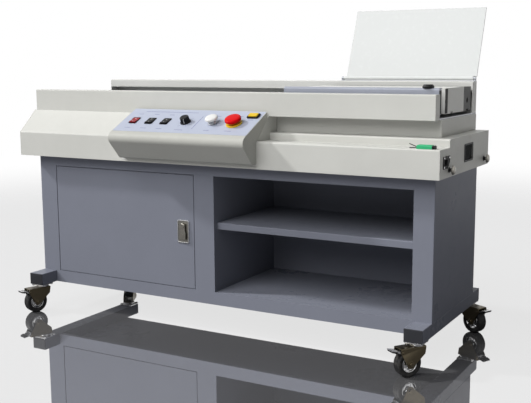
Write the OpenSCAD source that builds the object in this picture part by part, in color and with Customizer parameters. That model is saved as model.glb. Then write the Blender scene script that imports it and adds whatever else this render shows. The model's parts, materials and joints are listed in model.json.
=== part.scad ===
// Perfect binding machine on a wheeled cabinet, millimetres.
// Left to right runs along +X, the operator stands at -Y, and the floor is z = 0.

/* [Cabinet] */
// Width of the cabinet
cabinet_w = 1422; // [1300:1:1460]
// Depth of the cabinet
cabinet_d = 384; // [360:1:400]
// Height of the cabinet's top above the floor
cabinet_top_z = 540; // [500:1:620]
// How far the cabinet's middle lies to the right of the cover's middle
cabinet_offset = 9; // [0:1:15]
// Thickness of the cabinet's sheet metal
cabinet_t = 2; // [1:0.5:3]
// Width of the front frame's left post
left_post_w = 71; // [58:1:90]
// Width of the door's opening
door_opening_w = 568; // [480:1:600]
// Width of the front frame's middle post
middle_post_w = 73; // [40:1:90]
// Width of the front frame's right post
right_post_w = 60; // [57:1:90]
// Height of the front frame's top bar
top_bar_h = 36; // [20:1:60]
// Depth of the lips round the front frame's openings
lip_d = 12; // [6:1:20]
// Gap round the door
door_gap = 2; // [1.9:0.1:3]
// Depth of the door's folded edges
door_fold = 10; // [9:1:12]
// Distance of the door's pivot from its left edge and from its face
door_pivot_in = 4; // [3.8:0.1:4.2]
// Radius of the door's pivot pins
door_pin_r = 2; // [1.5:0.1:2.2]
// Height of the bay shelf's top above the floor
shelf_z = 356; // [250:1:420]
// Height of the bay shelf's front edge
shelf_edge_h = 21; // [10:1:40]

/* [Door handle] */
// Width of the handle's dish
dish_w = 44; // [36:1:60]
// Height of the handle's dish
dish_h = 74; // [64:1:100]
// Distance from the dish to the door's right edge
dish_inset = 18; // [12:1:40]
// Height of the dish's middle above the floor
dish_z = 321; // [250:1:400]
// Width of the handle's lever
lever_w = 18; // [14:1:24]
// Length of the handle's lever
lever_l = 54; // [40:1:58]

/* [Foot rails] */
// Width of a foot rail
rail_w = 55; // [50:1:56]
// Height of a foot rail
rail_h = 39; // [30:1:50]
// How far the rails reach in front of the cabinet
rail_front = 75; // [65:1:90]
// How far the rails reach behind the cabinet
rail_rear = 68; // [65:1:90]
// Wall of the rail's tube
rail_wall = 2.5; // [2:0.5:4]

/* [Casters] */
// Height from the floor to the underside of the foot rails
caster_h = 96; // [94:1:120]
// Diameter of a wheel
wheel_d = 75; // [70:1:76]
// Width of a wheel
wheel_w = 30; // [26:1:32]
// Diameter of the wheel's light centre
hub_d = 46; // [34:1:52]
// Distance from the swivel axis to the axle
trail = 29; // [25:1:31]
// How far the swivel axes lie in front of the cabinet and behind it
caster_out = 45; // [36:1:48]
// Radius of the axle
axle_r = 4; // [3:0.5:5]
// Length of the brake pedal
pedal_l = 44; // [36:1:50]

/* [Lower cover] */
// Width of the lower cover
cover_w = 1492; // [1486:1:1560]
// How far the cover reaches in front of the cabinet
cover_front = 45; // [38:1:60]
// How far the cover reaches behind the cabinet
cover_rear = 24; // [23:1:40]
// Height of the front ledge above the cabinet
ledge_h = 80; // [76:1:100]
// Depth of the front ledge
ledge_d = 82; // [74:1:84]
// Height of the step behind the ledge
step_h = 22; // [16:1:30]
// Thickness of the covers
cover_t = 2; // [1:0.5:3]
// Width of the flat ledge to the right of the sloped hood
ledge_w = 556; // [536:1:556]
// Thickness of the machine's base plate
base_t = 6; // [4:1:10]

/* [Bench] */
// Height of the bench's underside above the step
neck_h = 49; // [45:1:60]
// How far the bench's left end lies inside the cover's
bench_in_left = 9; // [4:1:21]
// How far the bench's right end lies inside the cover's
bench_in_right = 41; // [26:1:42]
// How far the bench's front lies behind the cabinet's front
bench_in_front = 32; // [28:1:34]
// How far the bench's rear reaches behind the cabinet
bench_out_rear = 22; // [20:1:23]
// Depth of the front beam
beam_d = 35; // [30:1:36]
// Height of the front beam
beam_h = 70; // [60:1:72]
// Height of the rear wall
wall_h = 98; // [92:1:110]
// Depth of the rear wall
wall_d = 39; // [36:1:40]
// Height of the solid band at the rear wall's top
wall_band = 26; // [18:1:34]
// How far the rear wall's left end lies inside the bench's
wall_in = 58; // [37:1:77]
// Thickness of the bench's floor
pan_t = 4; // [3:1:5]
// Distance of the neck's front from the bench's front
neck_back = 49; // [46:1:60]

/* [Carriage] */
// Length of the clamp jaw
jaw_l = 482; // [460:1:486]
// Thickness of the clamp jaw
jaw_t = 20; // [16:1:22]
// Height of the clamp jaw
jaw_h = 73; // [66:1:80]
// Book gap between the jaw and the block as photographed
book_gap = 28; // [20:1:30]
// Length of the clamp block
block_l = 452; // [430:1:456]
// Height of the clamp block
block_h = 72; // [66:1:74]
// Depth of the carriage behind the block
carriage_d = 69; // [62:1:70]
// Gap between the carriage and the rear wall
carriage_gap = 8; // [7:1:15]
// Radius of the jaw's guide studs
stud_r = 8; // [6:0.5:10]
// Radius of the drive screw
screw_r = 8; // [6:0.5:10]
// Diameter of the clamp knob
clamp_knob_d = 33; // [26:1:34]
// Height of the clamp knob
clamp_knob_h = 9; // [8:0.5:14]

/* [Book board] */
// Width of the book board
board_w = 430; // [380:1:434]
// Length of the book board
board_l = 224; // [180:1:260]
// Thickness of the book board
board_t = 4; // [3:0.5:6]
// Lean of the book board from upright
board_lean = 21; // [10:1:30]

/* [Stations] */
// Radius of the milling cutter
cutter_r = 38; // [34:1:39]
// Radius of the glue rollers
roller_r = 22; // [18:1:24]
// Distance between the glue rollers' axes
roller_pitch = 55; // [50:1:62]
// Depth of the glue tank
tank_h = 90; // [80:1:100]
// Distance from the bench's left end to the nipping jaws
nip_in = 97.5; // [92:0.5:140]
// Depth of a nipping jaw
nip_d = 22; // [16:1:22]
// Gap between the nipping jaws at rest
nip_gap = 32; // [30:1:34]

/* [Control box] */
// Width of the control box
box_w = 488; // [480:1:500]
// Length of the control panel up its slope
panel_l = 149; // [144:1:150]
// Slope of the control panel
panel_slope = 26.6; // [25:0.1:28]
// Height of the panel's front edge above the cabinet
panel_front_h = 98; // [94:1:102]
// How far the panel's front edge lies ahead of the cover's front
panel_out = 66; // [62:1:70]
// Wall of the control box
box_t = 3; // [2:0.5:4]
// Radius of the roll along the box's front
box_roll_r = 20; // [10:1:24]
// Width of a rocker switch
rocker_w = 28; // [24:1:30]
// Length of a rocker switch
rocker_l = 36; // [30:1:40]
// Diameter of the heat knob
heat_knob_d = 34; // [28:1:40]
// Diameter of the start button
start_d = 40; // [36:1:44]
// Diameter of the stop button's head
stop_d = 50; // [44:1:52]

/* [Side plate] */
// Radius of a side knob's head
side_knob_r = 12.5; // [9:0.5:14]
// How far the side knobs stand out
side_knob_out = 17; // [14:1:24]
// Length of the side lay's grip
lay_l = 50; // [40:1:54]

/* [Hidden] */
$fn = 48;

// Running fit on a radius, and the gap between pieces that move past each other
run_fit = 0.05;
slide_gap = 0.3;

// Cabinet
cab_left = cabinet_offset - cabinet_w / 2;
cab_right = cabinet_offset + cabinet_w / 2;
cab_front = -cabinet_d / 2;
cab_back = cabinet_d / 2;
rail_top_z = caster_h + rail_h;
floor_z = rail_top_z + cabinet_t;
opening_top_z = cabinet_top_z - top_bar_h;
door_open_left = cab_left + left_post_w;
door_open_right = door_open_left + door_opening_w;
bay_left = door_open_right + middle_post_w;
bay_right = cab_right - right_post_w;
inside_front = cab_front + cabinet_t + lip_d;

// Door
door_left = door_open_left + door_gap;
door_right = door_open_right - door_gap;
door_bottom = floor_z + door_gap;
door_top = opening_top_z - door_gap;
pivot_x = door_left + door_pivot_in;
pivot_y = cab_front + door_pivot_in;
pin_reach = 6;
dish_x = door_right - dish_inset - dish_w / 2;
dish_t = 3;
shaft_r = 5;
lever_pivot_z = dish_z + lever_l / 2 - lever_w / 2;

// Casters: where each swivels, and which way it trails, in degrees from +X
swivel_y = cabinet_d / 2 + caster_out;
rail_mid_left = cab_left + rail_w / 2;
rail_mid_right = cab_right - rail_w / 2;
FRONT_LEFT = [rail_mid_left, -swivel_y, 253];
FRONT_RIGHT = [rail_mid_right, -swivel_y, 235];
REAR_LEFT = [rail_mid_left, swivel_y, 118];
REAR_RIGHT = [rail_mid_right, swivel_y, -27];
axle_z = wheel_d / 2;
caster_plate_t = 3;
race_h = 8;
fork_t = 3;
fork_top_z = caster_h - caster_plate_t - race_h;
fork_inner = wheel_w / 2 + 1;
pedal_z = axle_z + 36;
pedal_axis = trail + 26;
pedal_tip = pedal_axis + pedal_l - 12;
pedal_half = fork_inner - 1;
pedal_pin_r = 2;
swivel_r = 6;
race_r = 21;

// How far a caster's pedal reaches from its swivel axis, along X and along Y
function reach_x(place) = pedal_tip * abs(cos(place[2])) + pedal_half * abs(sin(place[2]));
function reach_y(place) = pedal_tip * abs(sin(place[2])) + pedal_half * abs(cos(place[2]));

// Lower cover
cov_left = -cover_w / 2;
cov_right = cover_w / 2;
cov_front = cab_front - cover_front;
cov_back = cab_back + cover_rear;
ledge_z = cabinet_top_z + ledge_h;
step_z = ledge_z + step_h;
step_y = cov_front + ledge_d;
bench_z = step_z + neck_h;

// Bench
bench_left = cov_left + bench_in_left;
bench_right = cov_right - bench_in_right;
wall_left = bench_left + wall_in;
bench_y0 = cab_front + bench_in_front;
channel_y0 = bench_y0 + beam_d;
neck_y0 = bench_y0 + neck_back;
bench_y1 = cab_back + bench_out_rear;
channel_y1 = bench_y1 - wall_d;
pan_z = bench_z + pan_t;
beam_top_z = bench_z + beam_h;
wall_top_z = bench_z + wall_h;
band_z = wall_top_z - wall_band;

// Carriage
jaw_y0 = channel_y0 + 7;
jaw_y1 = jaw_y0 + jaw_t;
block_y0 = jaw_y1 + book_gap;
carriage_y1 = channel_y1 - carriage_gap;
block_y1 = carriage_y1 - carriage_d;
carriage_right = bench_right - 3;
jaw_right = bench_right - 5;
block_left = carriage_right - block_l;
jaw_left = jaw_right - jaw_l;
carriage_z = pan_z + 9;
block_top_z = carriage_z + block_h;
jaw_z = carriage_z + 1;
jaw_top_z = jaw_z + jaw_h;
stud_xs = [block_left + 80, carriage_right - 80];
stud_z = carriage_z + block_h / 2;
stud_reach = 50;
stud_l = book_gap + stud_reach;
screw_y = block_y1 + carriage_d / 2;
screw_z = carriage_z + 31;
motor_x1 = bench_left + 97;
clamp_knob_x = jaw_right - 35;

// Guide rails: one under the block, one under the carriage
guide_w = 20;
guide_h = 14;
guide_ys = [block_y0 + 48, block_y1 + 26];

// Stations: the book's spine runs over this line
spine_y = jaw_y1 + book_gap / 2;
cutter_to_jaw = 88;
tank_to_cutter = 152;
tank_to_nips = 70;
under_clamp = 3;
cutter_x = jaw_left - cutter_to_jaw;
cutter_z = pan_z + 1.5;
cutter_h = 5;
cutter_hub_r = 7;
mill_motor_r = 48;
mill_motor_h = 113;
mill_flange = [112, 134, 5];
tank_x = cutter_x - tank_to_cutter;
tank_w = roller_pitch + 90;
tank_d = 90;
tank_t = 3;
tank_rim = 6;
tank_y0 = channel_y0 + 3;
tank_y1 = tank_y0 + tank_d;
roller_z = carriage_z - under_clamp - roller_r;
roller_shaft_r = 5;
nip_right = tank_x - tank_w / 2 - tank_to_nips;
nip_left = bench_left + nip_in;
nip_drop = 20;
nip_z = bench_z - nip_drop;
nip_h = carriage_z - under_clamp - nip_z;
trough_end = 12;
trough_side = 4;
trough = [nip_left - trough_end, nip_right + trough_end];
trough_y = [spine_y - nip_gap / 2 - nip_d - trough_side, spine_y + nip_gap / 2 + nip_d + trough_side];

// Control box
panel_y = cov_front - panel_out;
panel_z = cabinet_top_z + panel_front_h;
panel_back_y = panel_y + panel_l * cos(panel_slope);
panel_back_z = panel_z + panel_l * sin(panel_slope);
hood_right = cov_right - ledge_w;
box_left = hood_right - box_w;
hood_slope = (bench_z - ledge_z) / (bench_y0 - cov_front);
switch_s = 73;

// Book board
hinge_pin_r = 3;
barrel_r = 5.5;
lug_w = 8;
board_pivot = [bench_y1 - 8, wall_top_z + 8.5];
hinge_right = bench_right;
hinge_left = hinge_right - board_w - 15;

// Side plate: where its pieces sit
inlet_y = cov_front + 52;
inlet_z = cabinet_top_z + 43;
window_y = cov_front + 252;
window_z = cabinet_top_z + 53;
side_knob_at = [[cov_front + 79, cabinet_top_z + 20], [cov_back - 46, cabinet_top_z + 20]];
inlet_size = [50, 33];
socket_size = [24.5, 16.5];
socket_y = inlet_y - 7;
socket_wall = 2;
socket_gap = 0.5;
window_size = [82, 52];
lay_y = cov_front + 23;
lay_right = cov_right - 20;
lay_travel = 50;

// Everything is drawn from the cover's middle and the cabinet's middle,
// and this shift puts the middle of the whole machine at the origin.
lowest_x = min(cov_left, FRONT_LEFT[0] - reach_x(FRONT_LEFT), REAR_LEFT[0] - reach_x(REAR_LEFT));
highest_x = max(cov_right + side_knob_out, REAR_RIGHT[0] + reach_x(REAR_RIGHT));
lowest_y = min(panel_y, FRONT_LEFT[1] - reach_y(FRONT_LEFT), FRONT_RIGHT[1] - reach_y(FRONT_RIGHT));
highest_y = max(cov_back, REAR_LEFT[1] + reach_y(REAR_LEFT), REAR_RIGHT[1] + reach_y(REAR_RIGHT));
machine_shift = [-(lowest_x + highest_x) / 2, -(lowest_y + highest_y) / 2, 0];

// ---------- Helpers ----------

module in_place() {
    translate(machine_shift) children();
}

// A block from its low and high values along each axis
module block(xs, ys, zs) {
    translate([xs[0], ys[0], zs[0]]) cube([xs[1] - xs[0], ys[1] - ys[0], zs[1] - zs[0]]);
}

// A profile given as [y, z] points, run from x0 to x1
module profile_x(x0, x1, points) {
    translate([x0, 0, 0]) rotate([90, 0, 90]) linear_extrude(x1 - x0) polygon(points);
}

// A plate given as [x, z] points, from y0 to y1
module profile_y(y0, y1, points) {
    translate([0, y1, 0]) rotate([90, 0, 0]) linear_extrude(y1 - y0) polygon(points);
}

module rod_x(x0, x1, y, z, r) {
    translate([x0, y, z]) rotate([0, 90, 0]) cylinder(h = x1 - x0, r = r);
}

module rod_y(y0, y1, x, z, r) {
    translate([x, y1, z]) rotate([90, 0, 0]) cylinder(h = y1 - y0, r = r);
}

module rod_z(z0, z1, x, y, r) {
    translate([x, y, z0]) cylinder(h = z1 - z0, r = r);
}

// A bent sheet: the outside line's points, then the same line moved inwards
function bent_sheet(line, shift) = concat(line, [for (i = [len(line) - 1 : -1 : 0]) line[i] + shift]);

// Points of an arc about c, from angle a0 to a1
function arc(c, r, a0, a1, n = 8) = [for (i = [0 : n]) let (a = a0 + (a1 - a0) * i / n) c + r * [cos(a), sin(a)]];

// ---------- Cabinet ----------

module foot_rail(x) {
    ends = [cab_front - rail_front, cab_back + rail_rear];
    cap_t = 3;
    tube_y = [ends[0] + cap_t, ends[1] - cap_t];
    difference() {
        block([x, x + rail_w], tube_y, [caster_h, rail_top_z]);
        block([x + rail_wall, x + rail_w - rail_wall], [ends[0] - 1, ends[1] + 1],
              [caster_h + rail_wall, rail_top_z - rail_wall]);
    }
    for (cap_y = [ends[0], tube_y[1]])
        block([x, x + rail_w], [cap_y, cap_y + cap_t], [caster_h, rail_top_z]);
}

module foot_rails() {
    color("#73768a") in_place() {
        foot_rail(cab_left);
        foot_rail(cab_right - rail_w);
    }
}

// A lip standing back from the edge of an opening in the front frame
module frame_lip(x0, x1) {
    difference() {
        block([x0 - cabinet_t, x1 + cabinet_t], [cab_front + cabinet_t, inside_front],
              [floor_z - cabinet_t, opening_top_z + cabinet_t]);
        block([x0, x1], [cab_front, inside_front + 1], [floor_z, opening_top_z]);
    }
}

module front_frame() {
    color("#73768a") in_place() {
        difference() {
            union() {
                block([cab_left, cab_right], [cab_front, cab_front + cabinet_t], [rail_top_z, cabinet_top_z]);
                block([cab_left + rail_w, cab_right - rail_w], [cab_front, cab_front + cabinet_t],
                      [caster_h, rail_top_z]);
                block([cab_left + rail_w, cab_right - rail_w], [cab_front + cabinet_t, inside_front],
                      [caster_h, caster_h + cabinet_t]);
                frame_lip(door_open_left, door_open_right);
                frame_lip(bay_left, bay_right);
            }
            block([door_open_left, door_open_right], [cab_front - 1, cab_front + cabinet_t + 1],
                  [floor_z, opening_top_z]);
            block([bay_left, bay_right], [cab_front - 1, cab_front + cabinet_t + 1], [floor_z, opening_top_z]);
        }
        rod_z(floor_z - cabinet_t, door_bottom + pin_reach, pivot_x, pivot_y, door_pin_r);
        rod_z(door_top - pin_reach, opening_top_z + cabinet_t, pivot_x, pivot_y, door_pin_r);
    }
}

module cabinet_sides() {
    color("#46454b") in_place()
        for (x = [cab_left, cab_right - cabinet_t])
            block([x, x + cabinet_t], [cab_front + cabinet_t, cab_back], [rail_top_z, cabinet_top_z]);
}

module cabinet_back() {
    color("#46454b") in_place()
        block([cab_left + cabinet_t, cab_right - cabinet_t], [cab_back - cabinet_t, cab_back],
              [rail_top_z, cabinet_top_z]);
}

module cabinet_divider() {
    color("#55565f") in_place()
        block([bay_left - cabinet_t, bay_left], [inside_front, cab_back - cabinet_t], [floor_z, cabinet_top_z]);
}

module cabinet_floor() {
    color("#6b6d7d") in_place()
        block([cab_left + cabinet_t, cab_right - cabinet_t], [inside_front, cab_back - cabinet_t],
              [rail_top_z, floor_z]);
}

module bay_shelf() {
    edge_y = inside_front + 6;
    color("#6b6d7d") in_place() {
        block([bay_left, cab_right - cabinet_t], [edge_y, cab_back - cabinet_t], [shelf_z - cabinet_t, shelf_z]);
        block([bay_left, cab_right - cabinet_t], [edge_y, edge_y + cabinet_t],
              [shelf_z - shelf_edge_h, shelf_z - cabinet_t]);
    }
}

module cabinet_door() {
    wall = 1.5;
    color("#747786") in_place() difference() {
        block([door_left, door_right], [cab_front, cab_front + door_fold], [door_bottom, door_top]);
        block([door_left + wall, door_right - wall], [cab_front + wall, cab_front + door_fold + 1],
              [door_bottom + wall, door_top - wall]);
        rod_z(door_bottom - 1, door_top + 1, pivot_x, pivot_y, door_pin_r + run_fit);
        rod_y(cab_front - 1, cab_front + wall + 1, dish_x, lever_pivot_z, shaft_r + run_fit);
    }
}

module door_handle_dish() {
    color("#b9b4a8") in_place() difference() {
        block([dish_x - dish_w / 2, dish_x + dish_w / 2], [cab_front - dish_t, cab_front],
              [dish_z - dish_h / 2, dish_z + dish_h / 2]);
        block([dish_x - dish_w / 2 + 3, dish_x + dish_w / 2 - 3], [cab_front - dish_t - 1, cab_front - 1],
              [dish_z - dish_h / 2 + 3, dish_z + dish_h / 2 - 3]);
        rod_y(cab_front - dish_t - 1, cab_front + 1, dish_x, lever_pivot_z, shaft_r + run_fit);
    }
}

// The lever hangs upright while its tongue points up behind the door; a quarter turn locks it
module door_handle() {
    back = cab_front - dish_t - slide_gap;
    front = back - 7;
    tongue_y = inside_front + 1;
    color("#d2cec2") in_place() {
        profile_y(front, back, concat(
            arc([dish_x, lever_pivot_z], lever_w / 2, 0, 180),
            arc([dish_x, lever_pivot_z - lever_l + lever_w], lever_w / 2, 180, 360)));
        rod_y(front + 1, tongue_y + 3, dish_x, lever_pivot_z, shaft_r);
        block([dish_x - 8, dish_x + 8], [tongue_y, tongue_y + 3],
              [lever_pivot_z - 8, lever_pivot_z + dish_w / 2 + dish_inset + 22]);
    }
}

// ---------- Casters ----------

// Puts a caster's own frame on its swivel axis, trailing along its local +X
module at_caster(place) {
    in_place() translate([place[0], place[1], 0]) rotate([0, 0, place[2]]) children();
}

module caster_plates() {
    color("#b8bac0")
        for (place = [FRONT_LEFT, FRONT_RIGHT, REAR_LEFT, REAR_RIGHT]) {
            in_place() block([place[0] - rail_w / 2 + 1, place[0] + rail_w / 2 - 1],
                             [place[1] - 28, place[1] + 28], [caster_h - caster_plate_t, caster_h]);
            at_caster(place) rod_z(fork_top_z + slide_gap, caster_h - caster_plate_t, 0, 0, race_r);
            at_caster(place) rod_z(fork_top_z - fork_t - 3, caster_h - 1, 0, 0, swivel_r);
        }
}

module caster_fork(place) {
    reach = pedal_axis + 5;
    color("#c3c5ca") at_caster(place) {
        difference() {
            block([-20, reach], [-fork_inner - fork_t, fork_inner + fork_t], [fork_top_z - fork_t, fork_top_z]);
            rod_z(fork_top_z - fork_t - 1, fork_top_z + 1, 0, 0, swivel_r + run_fit);
        }
        for (side = [-1, 1]) {
            y0 = side > 0 ? fork_inner : -fork_inner - fork_t;
            profile_y(y0, y0 + fork_t, concat(
                [[-20, fork_top_z - fork_t], [-17, fork_top_z - 22]],
                arc([trail, axle_z], 12, 205, 350),
                [[reach - 3, pedal_z - 8], [reach, pedal_z - 4], [reach, fork_top_z - fork_t]]));
        }
        rod_y(-fork_inner - fork_t - 3, fork_inner + fork_t + 3, trail, axle_z, axle_r);
        rod_y(-fork_inner - fork_t, fork_inner + fork_t, pedal_axis, pedal_z, pedal_pin_r);
    }
}

module caster_wheel(place) {
    half = wheel_w / 2;
    color("#202022") at_caster(place) translate([trail, 0, axle_z]) rotate([90, 0, 0]) {
        rotate_extrude($fn = 64) polygon([
            [hub_d / 2, -half + 3], [wheel_d / 2 - 3, -half], [wheel_d / 2, -half + 5],
            [wheel_d / 2, half - 5], [wheel_d / 2 - 3, half], [hub_d / 2, half - 3]]);
        rotate_extrude($fn = 64) polygon([
            [axle_r + run_fit, -half + 1], [axle_r + 5, -half + 1], [axle_r + 7, -half + 6], [hub_d / 2 - 4, -half + 6],
            [hub_d / 2, -half + 3], [hub_d / 2, half - 3], [hub_d / 2 - 4, half - 6], [axle_r + 7, half - 6],
            [axle_r + 5, half - 1], [axle_r + run_fit, half - 1]]);
    }
}

// A foot lever behind the wheel, hinged between the fork's legs
module brake_pedal(place) {
    color("#2a2a2c") at_caster(place) difference() {
        union() {
            rod_y(-pedal_half, pedal_half, pedal_axis, pedal_z, 5);
            profile_y(-pedal_half, pedal_half, [
                [pedal_axis - 2, pedal_z + 3], [pedal_tip - 2, pedal_z + 9],
                [pedal_tip, pedal_z + 4], [pedal_axis + 2, pedal_z - 4]]);
        }
        rod_y(-pedal_half - 1, pedal_half + 1, pedal_axis, pedal_z, pedal_pin_r + run_fit);
    }
}

module caster_fork_front_left() { caster_fork(FRONT_LEFT); }
module caster_fork_front_right() { caster_fork(FRONT_RIGHT); }
module caster_fork_rear_left() { caster_fork(REAR_LEFT); }
module caster_fork_rear_right() { caster_fork(REAR_RIGHT); }
module caster_wheel_front_left() { caster_wheel(FRONT_LEFT); }
module caster_wheel_front_right() { caster_wheel(FRONT_RIGHT); }
module caster_wheel_rear_left() { caster_wheel(REAR_LEFT); }
module caster_wheel_rear_right() { caster_wheel(REAR_RIGHT); }
module brake_pedal_front_left() { brake_pedal(FRONT_LEFT); }
module brake_pedal_front_right() { brake_pedal(FRONT_RIGHT); }
module brake_pedal_rear_left() { brake_pedal(REAR_LEFT); }
module brake_pedal_rear_right() { brake_pedal(REAR_RIGHT); }

// ---------- Lower cover ----------

// The plate on the cabinet's top, with the two uprights that carry the bench
module machine_base() {
    upright_t = 8;
    color("#8d9096") in_place() {
        block([cov_left + cover_t, cov_right - cover_t], [cov_front + cover_t, cov_back - cover_t],
              [cabinet_top_z, cabinet_top_z + base_t]);
        for (x = [bench_left + 45, bench_right - 45 - upright_t])
            block([x, x + upright_t], [neck_y0 + 20, bench_y1 - 25], [cabinet_top_z + base_t, bench_z]);
    }
}

module front_cover() {
    inwards = [cover_t, -cover_t];
    hood = [[cov_front, ledge_z], [bench_y0, bench_z]];
    wall = [[cov_front, cabinet_top_z], [cov_front, ledge_z], [cov_front + cover_t, ledge_z],
            [cov_front + cover_t, cabinet_top_z]];
    color("#dcdcd6") in_place() difference() {
        union() {
            profile_x(cov_left + cover_t, cov_right - cover_t, wall);
            profile_x(cov_left + cover_t, hood_right, [hood[0], hood[1], hood[1] + [0, -2 * cover_t],
                                                       hood[0] + [cover_t, -cover_t]]);
            profile_x(hood_right - cover_t, cov_right - cover_t, bent_sheet(
                [[cov_front, ledge_z], [step_y, ledge_z], [step_y, step_z], [neck_y0, step_z]], inwards));
            profile_x(hood_right - cover_t, hood_right, [[cov_front, ledge_z], [bench_y0, bench_z],
                [neck_y0, bench_z], [neck_y0, step_z], [step_y, step_z], [step_y, ledge_z]]);
        }
        block([lay_right - lay_l - lay_travel, lay_right - 12], [lay_y - 1.5, lay_y + 1.5],
              [ledge_z - 10, ledge_z + 1]);
    }
}

module side_plates() {
    left_edge = [[cov_front, cabinet_top_z], [cov_front, ledge_z], [bench_y0, bench_z], [neck_y0, bench_z],
                 [neck_y0, step_z], [cov_back, step_z], [cov_back, cabinet_top_z]];
    right_edge = [[cov_front, cabinet_top_z], [cov_front, ledge_z], [step_y, ledge_z], [step_y, step_z],
                  [cov_back, step_z], [cov_back, cabinet_top_z]];
    color("#cfcfc9") in_place() {
        profile_x(cov_left, cov_left + cover_t, left_edge);
        difference() {
            profile_x(cov_right - cover_t, cov_right, right_edge);
            socket_block([cov_right - 9, cov_right + 9], socket_wall + socket_gap);
            block([cov_right - 9, cov_right + 9],
                  [window_y - window_size[0] / 2 + 4, window_y + window_size[0] / 2 - 4],
                  [window_z - window_size[1] / 2 + 4, window_z + window_size[1] / 2 - 4]);
            for (at = side_knob_at)
                rod_x(cov_right - 9, cov_right + 9, at[0], at[1], 4);
        }
    }
}

module rear_cover() {
    color("#dcdcd6") in_place() {
        difference() {
            block([cov_left + cover_t, cov_right - cover_t], [neck_y0 + cover_t, cov_back], [step_z - cover_t, step_z]);
            block([bench_left + 40, bench_right - 40], [neck_y0 + 15, bench_y1 - 20], [step_z - 9, step_z + 9]);
            block([bench_left + 40, hood_right - cover_t], [neck_y0, neck_y0 + 16], [step_z - 9, step_z + 9]);
        }
        block([cov_left + cover_t, cov_right - cover_t], [cov_back - cover_t, cov_back],
              [cabinet_top_z, step_z - cover_t]);
    }
}

// A block round the mains socket, grown by the given margin
module socket_block(xs, margin) {
    block(xs, [socket_y - socket_size[0] / 2 - margin, socket_y + socket_size[0] / 2 + margin],
          [inlet_z - socket_size[1] / 2 - margin, inlet_z + socket_size[1] / 2 + margin]);
}

// A mains inlet: a flange with one corner cut off, and a socket with three flat contacts
module power_inlet() {
    half = inlet_size / 2;
    flange_t = 3;
    floor_x = cov_right - 13;
    contact = [9, 2, 4];
    color("#19191b") in_place() {
        difference() {
            union() {
                translate([0, inlet_y, inlet_z]) profile_x(cov_right, cov_right + flange_t, [
                    -half, [half[0] - 18, -half[1]], [half[0], -half[1] + 16], half, [-half[0], half[1]]]);
                socket_block([floor_x - socket_wall, cov_right], socket_wall);
            }
            socket_block([floor_x, cov_right + flange_t + 1], 0);
        }
        for (at = [[-7, -2], [0, 2], [7, -2]])
            block([floor_x, floor_x + contact[0]], [socket_y + at[0] - contact[1] / 2, socket_y + at[0] + contact[1] / 2],
                  [inlet_z + at[1] - contact[2] / 2, inlet_z + at[1] + contact[2] / 2]);
    }
}

module side_window() {
    half = window_size / 2;
    color("#1d1d20") in_place() {
        block([cov_right, cov_right + 1.5], [window_y - half[0], window_y + half[0]],
              [window_z - half[1], window_z + half[1]]);
        block([cov_right - cover_t, cov_right],
              [window_y - half[0] + 4.3, window_y + half[0] - 4.3], [window_z - half[1] + 4.3, window_z + half[1] - 4.3]);
    }
}

module side_knobs() {
    color("#c9cacd") in_place()
        for (at = side_knob_at)
            translate([cov_right, at[0], at[1]]) rotate([0, 90, 0]) {
                translate([0, 0, -8]) cylinder(h = 12, r = 3.8);
                cylinder(h = side_knob_out - 8, r = 5);
                translate([0, 0, side_knob_out - 8]) rotate_extrude() polygon(concat(
                    [[0, 0], [side_knob_r - 2, 0], [side_knob_r, 2], [side_knob_r, 4]],
                    arc([side_knob_r - 4, 4], 4, 0, 90, 5), [[0, 8]]));
            }
}

// The cover's side lay: a green grip on a tongue in the ledge's slot, with a wire pointer
module side_lay() {
    grip = [lay_right - lay_l, lay_right];
    color("#1f9d5c") in_place() {
        profile_x(grip[0], grip[1], concat(
            [[lay_y - 11, ledge_z + slide_gap], [lay_y + 11, ledge_z + slide_gap]],
            arc([lay_y + 6, ledge_z + 6], 5, 0, 90, 5), arc([lay_y - 6, ledge_z + 6], 5, 90, 180, 5)));
        block([grip[0] + 10, grip[0] + 26], [lay_y - 1.2, lay_y + 1.2], [ledge_z - 6, ledge_z + slide_gap + 1]);
        translate([grip[0] + 2, lay_y, ledge_z + 4]) rotate([0, -70, 0]) cylinder(h = 28, r = 0.9);
    }
}

// ---------- Bench ----------

module neck_cover() {
    sides = [bench_left + 30, bench_right + 2];
    rear = [bench_y1 - cover_t - 1, bench_y1 - 1];
    color("#c9c9c4") in_place() {
        block([hood_right, sides[1]], [neck_y0, neck_y0 + cover_t], [step_z, bench_z]);
        block(sides, rear, [step_z, bench_z]);
        block([sides[0], sides[0] + cover_t], [neck_y0 + cover_t, rear[0]], [step_z, bench_z]);
        block([sides[1] - cover_t, sides[1]], [neck_y0 + cover_t, rear[0]], [step_z, bench_z]);
    }
}

// The channel's floor, with a trough for the nipping jaws
module bench_floor() {
    wall = 3;
    color("#9a9ca0") in_place() difference() {
        union() {
            block([bench_left, bench_right], [channel_y0, bench_y1], [bench_z, pan_z]);
            block([trough[0] - wall, trough[1] + wall], [trough_y[0] - wall, trough_y[1] + wall],
                  [nip_z - wall, bench_z]);
        }
        block(trough, trough_y, [nip_z, pan_z + 1]);
        block([tank_x - tank_w / 2 - slide_gap, tank_x + tank_w / 2 + slide_gap],
              [tank_y0 - slide_gap, tank_y1 + slide_gap], [bench_z - 1, pan_z + 1]);
        rod_z(bench_z - 1, pan_z + 1, cutter_x, spine_y, 12);
    }
}

module front_beam() {
    color("#dcdcd6") in_place() difference() {
        block([bench_left, bench_right], [bench_y0, channel_y0], [bench_z, beam_top_z]);
        block([bench_left + cover_t, bench_right - cover_t], [bench_y0 + cover_t, channel_y0 - cover_t],
              [bench_z - 1, beam_top_z - cover_t]);
    }
}

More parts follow.
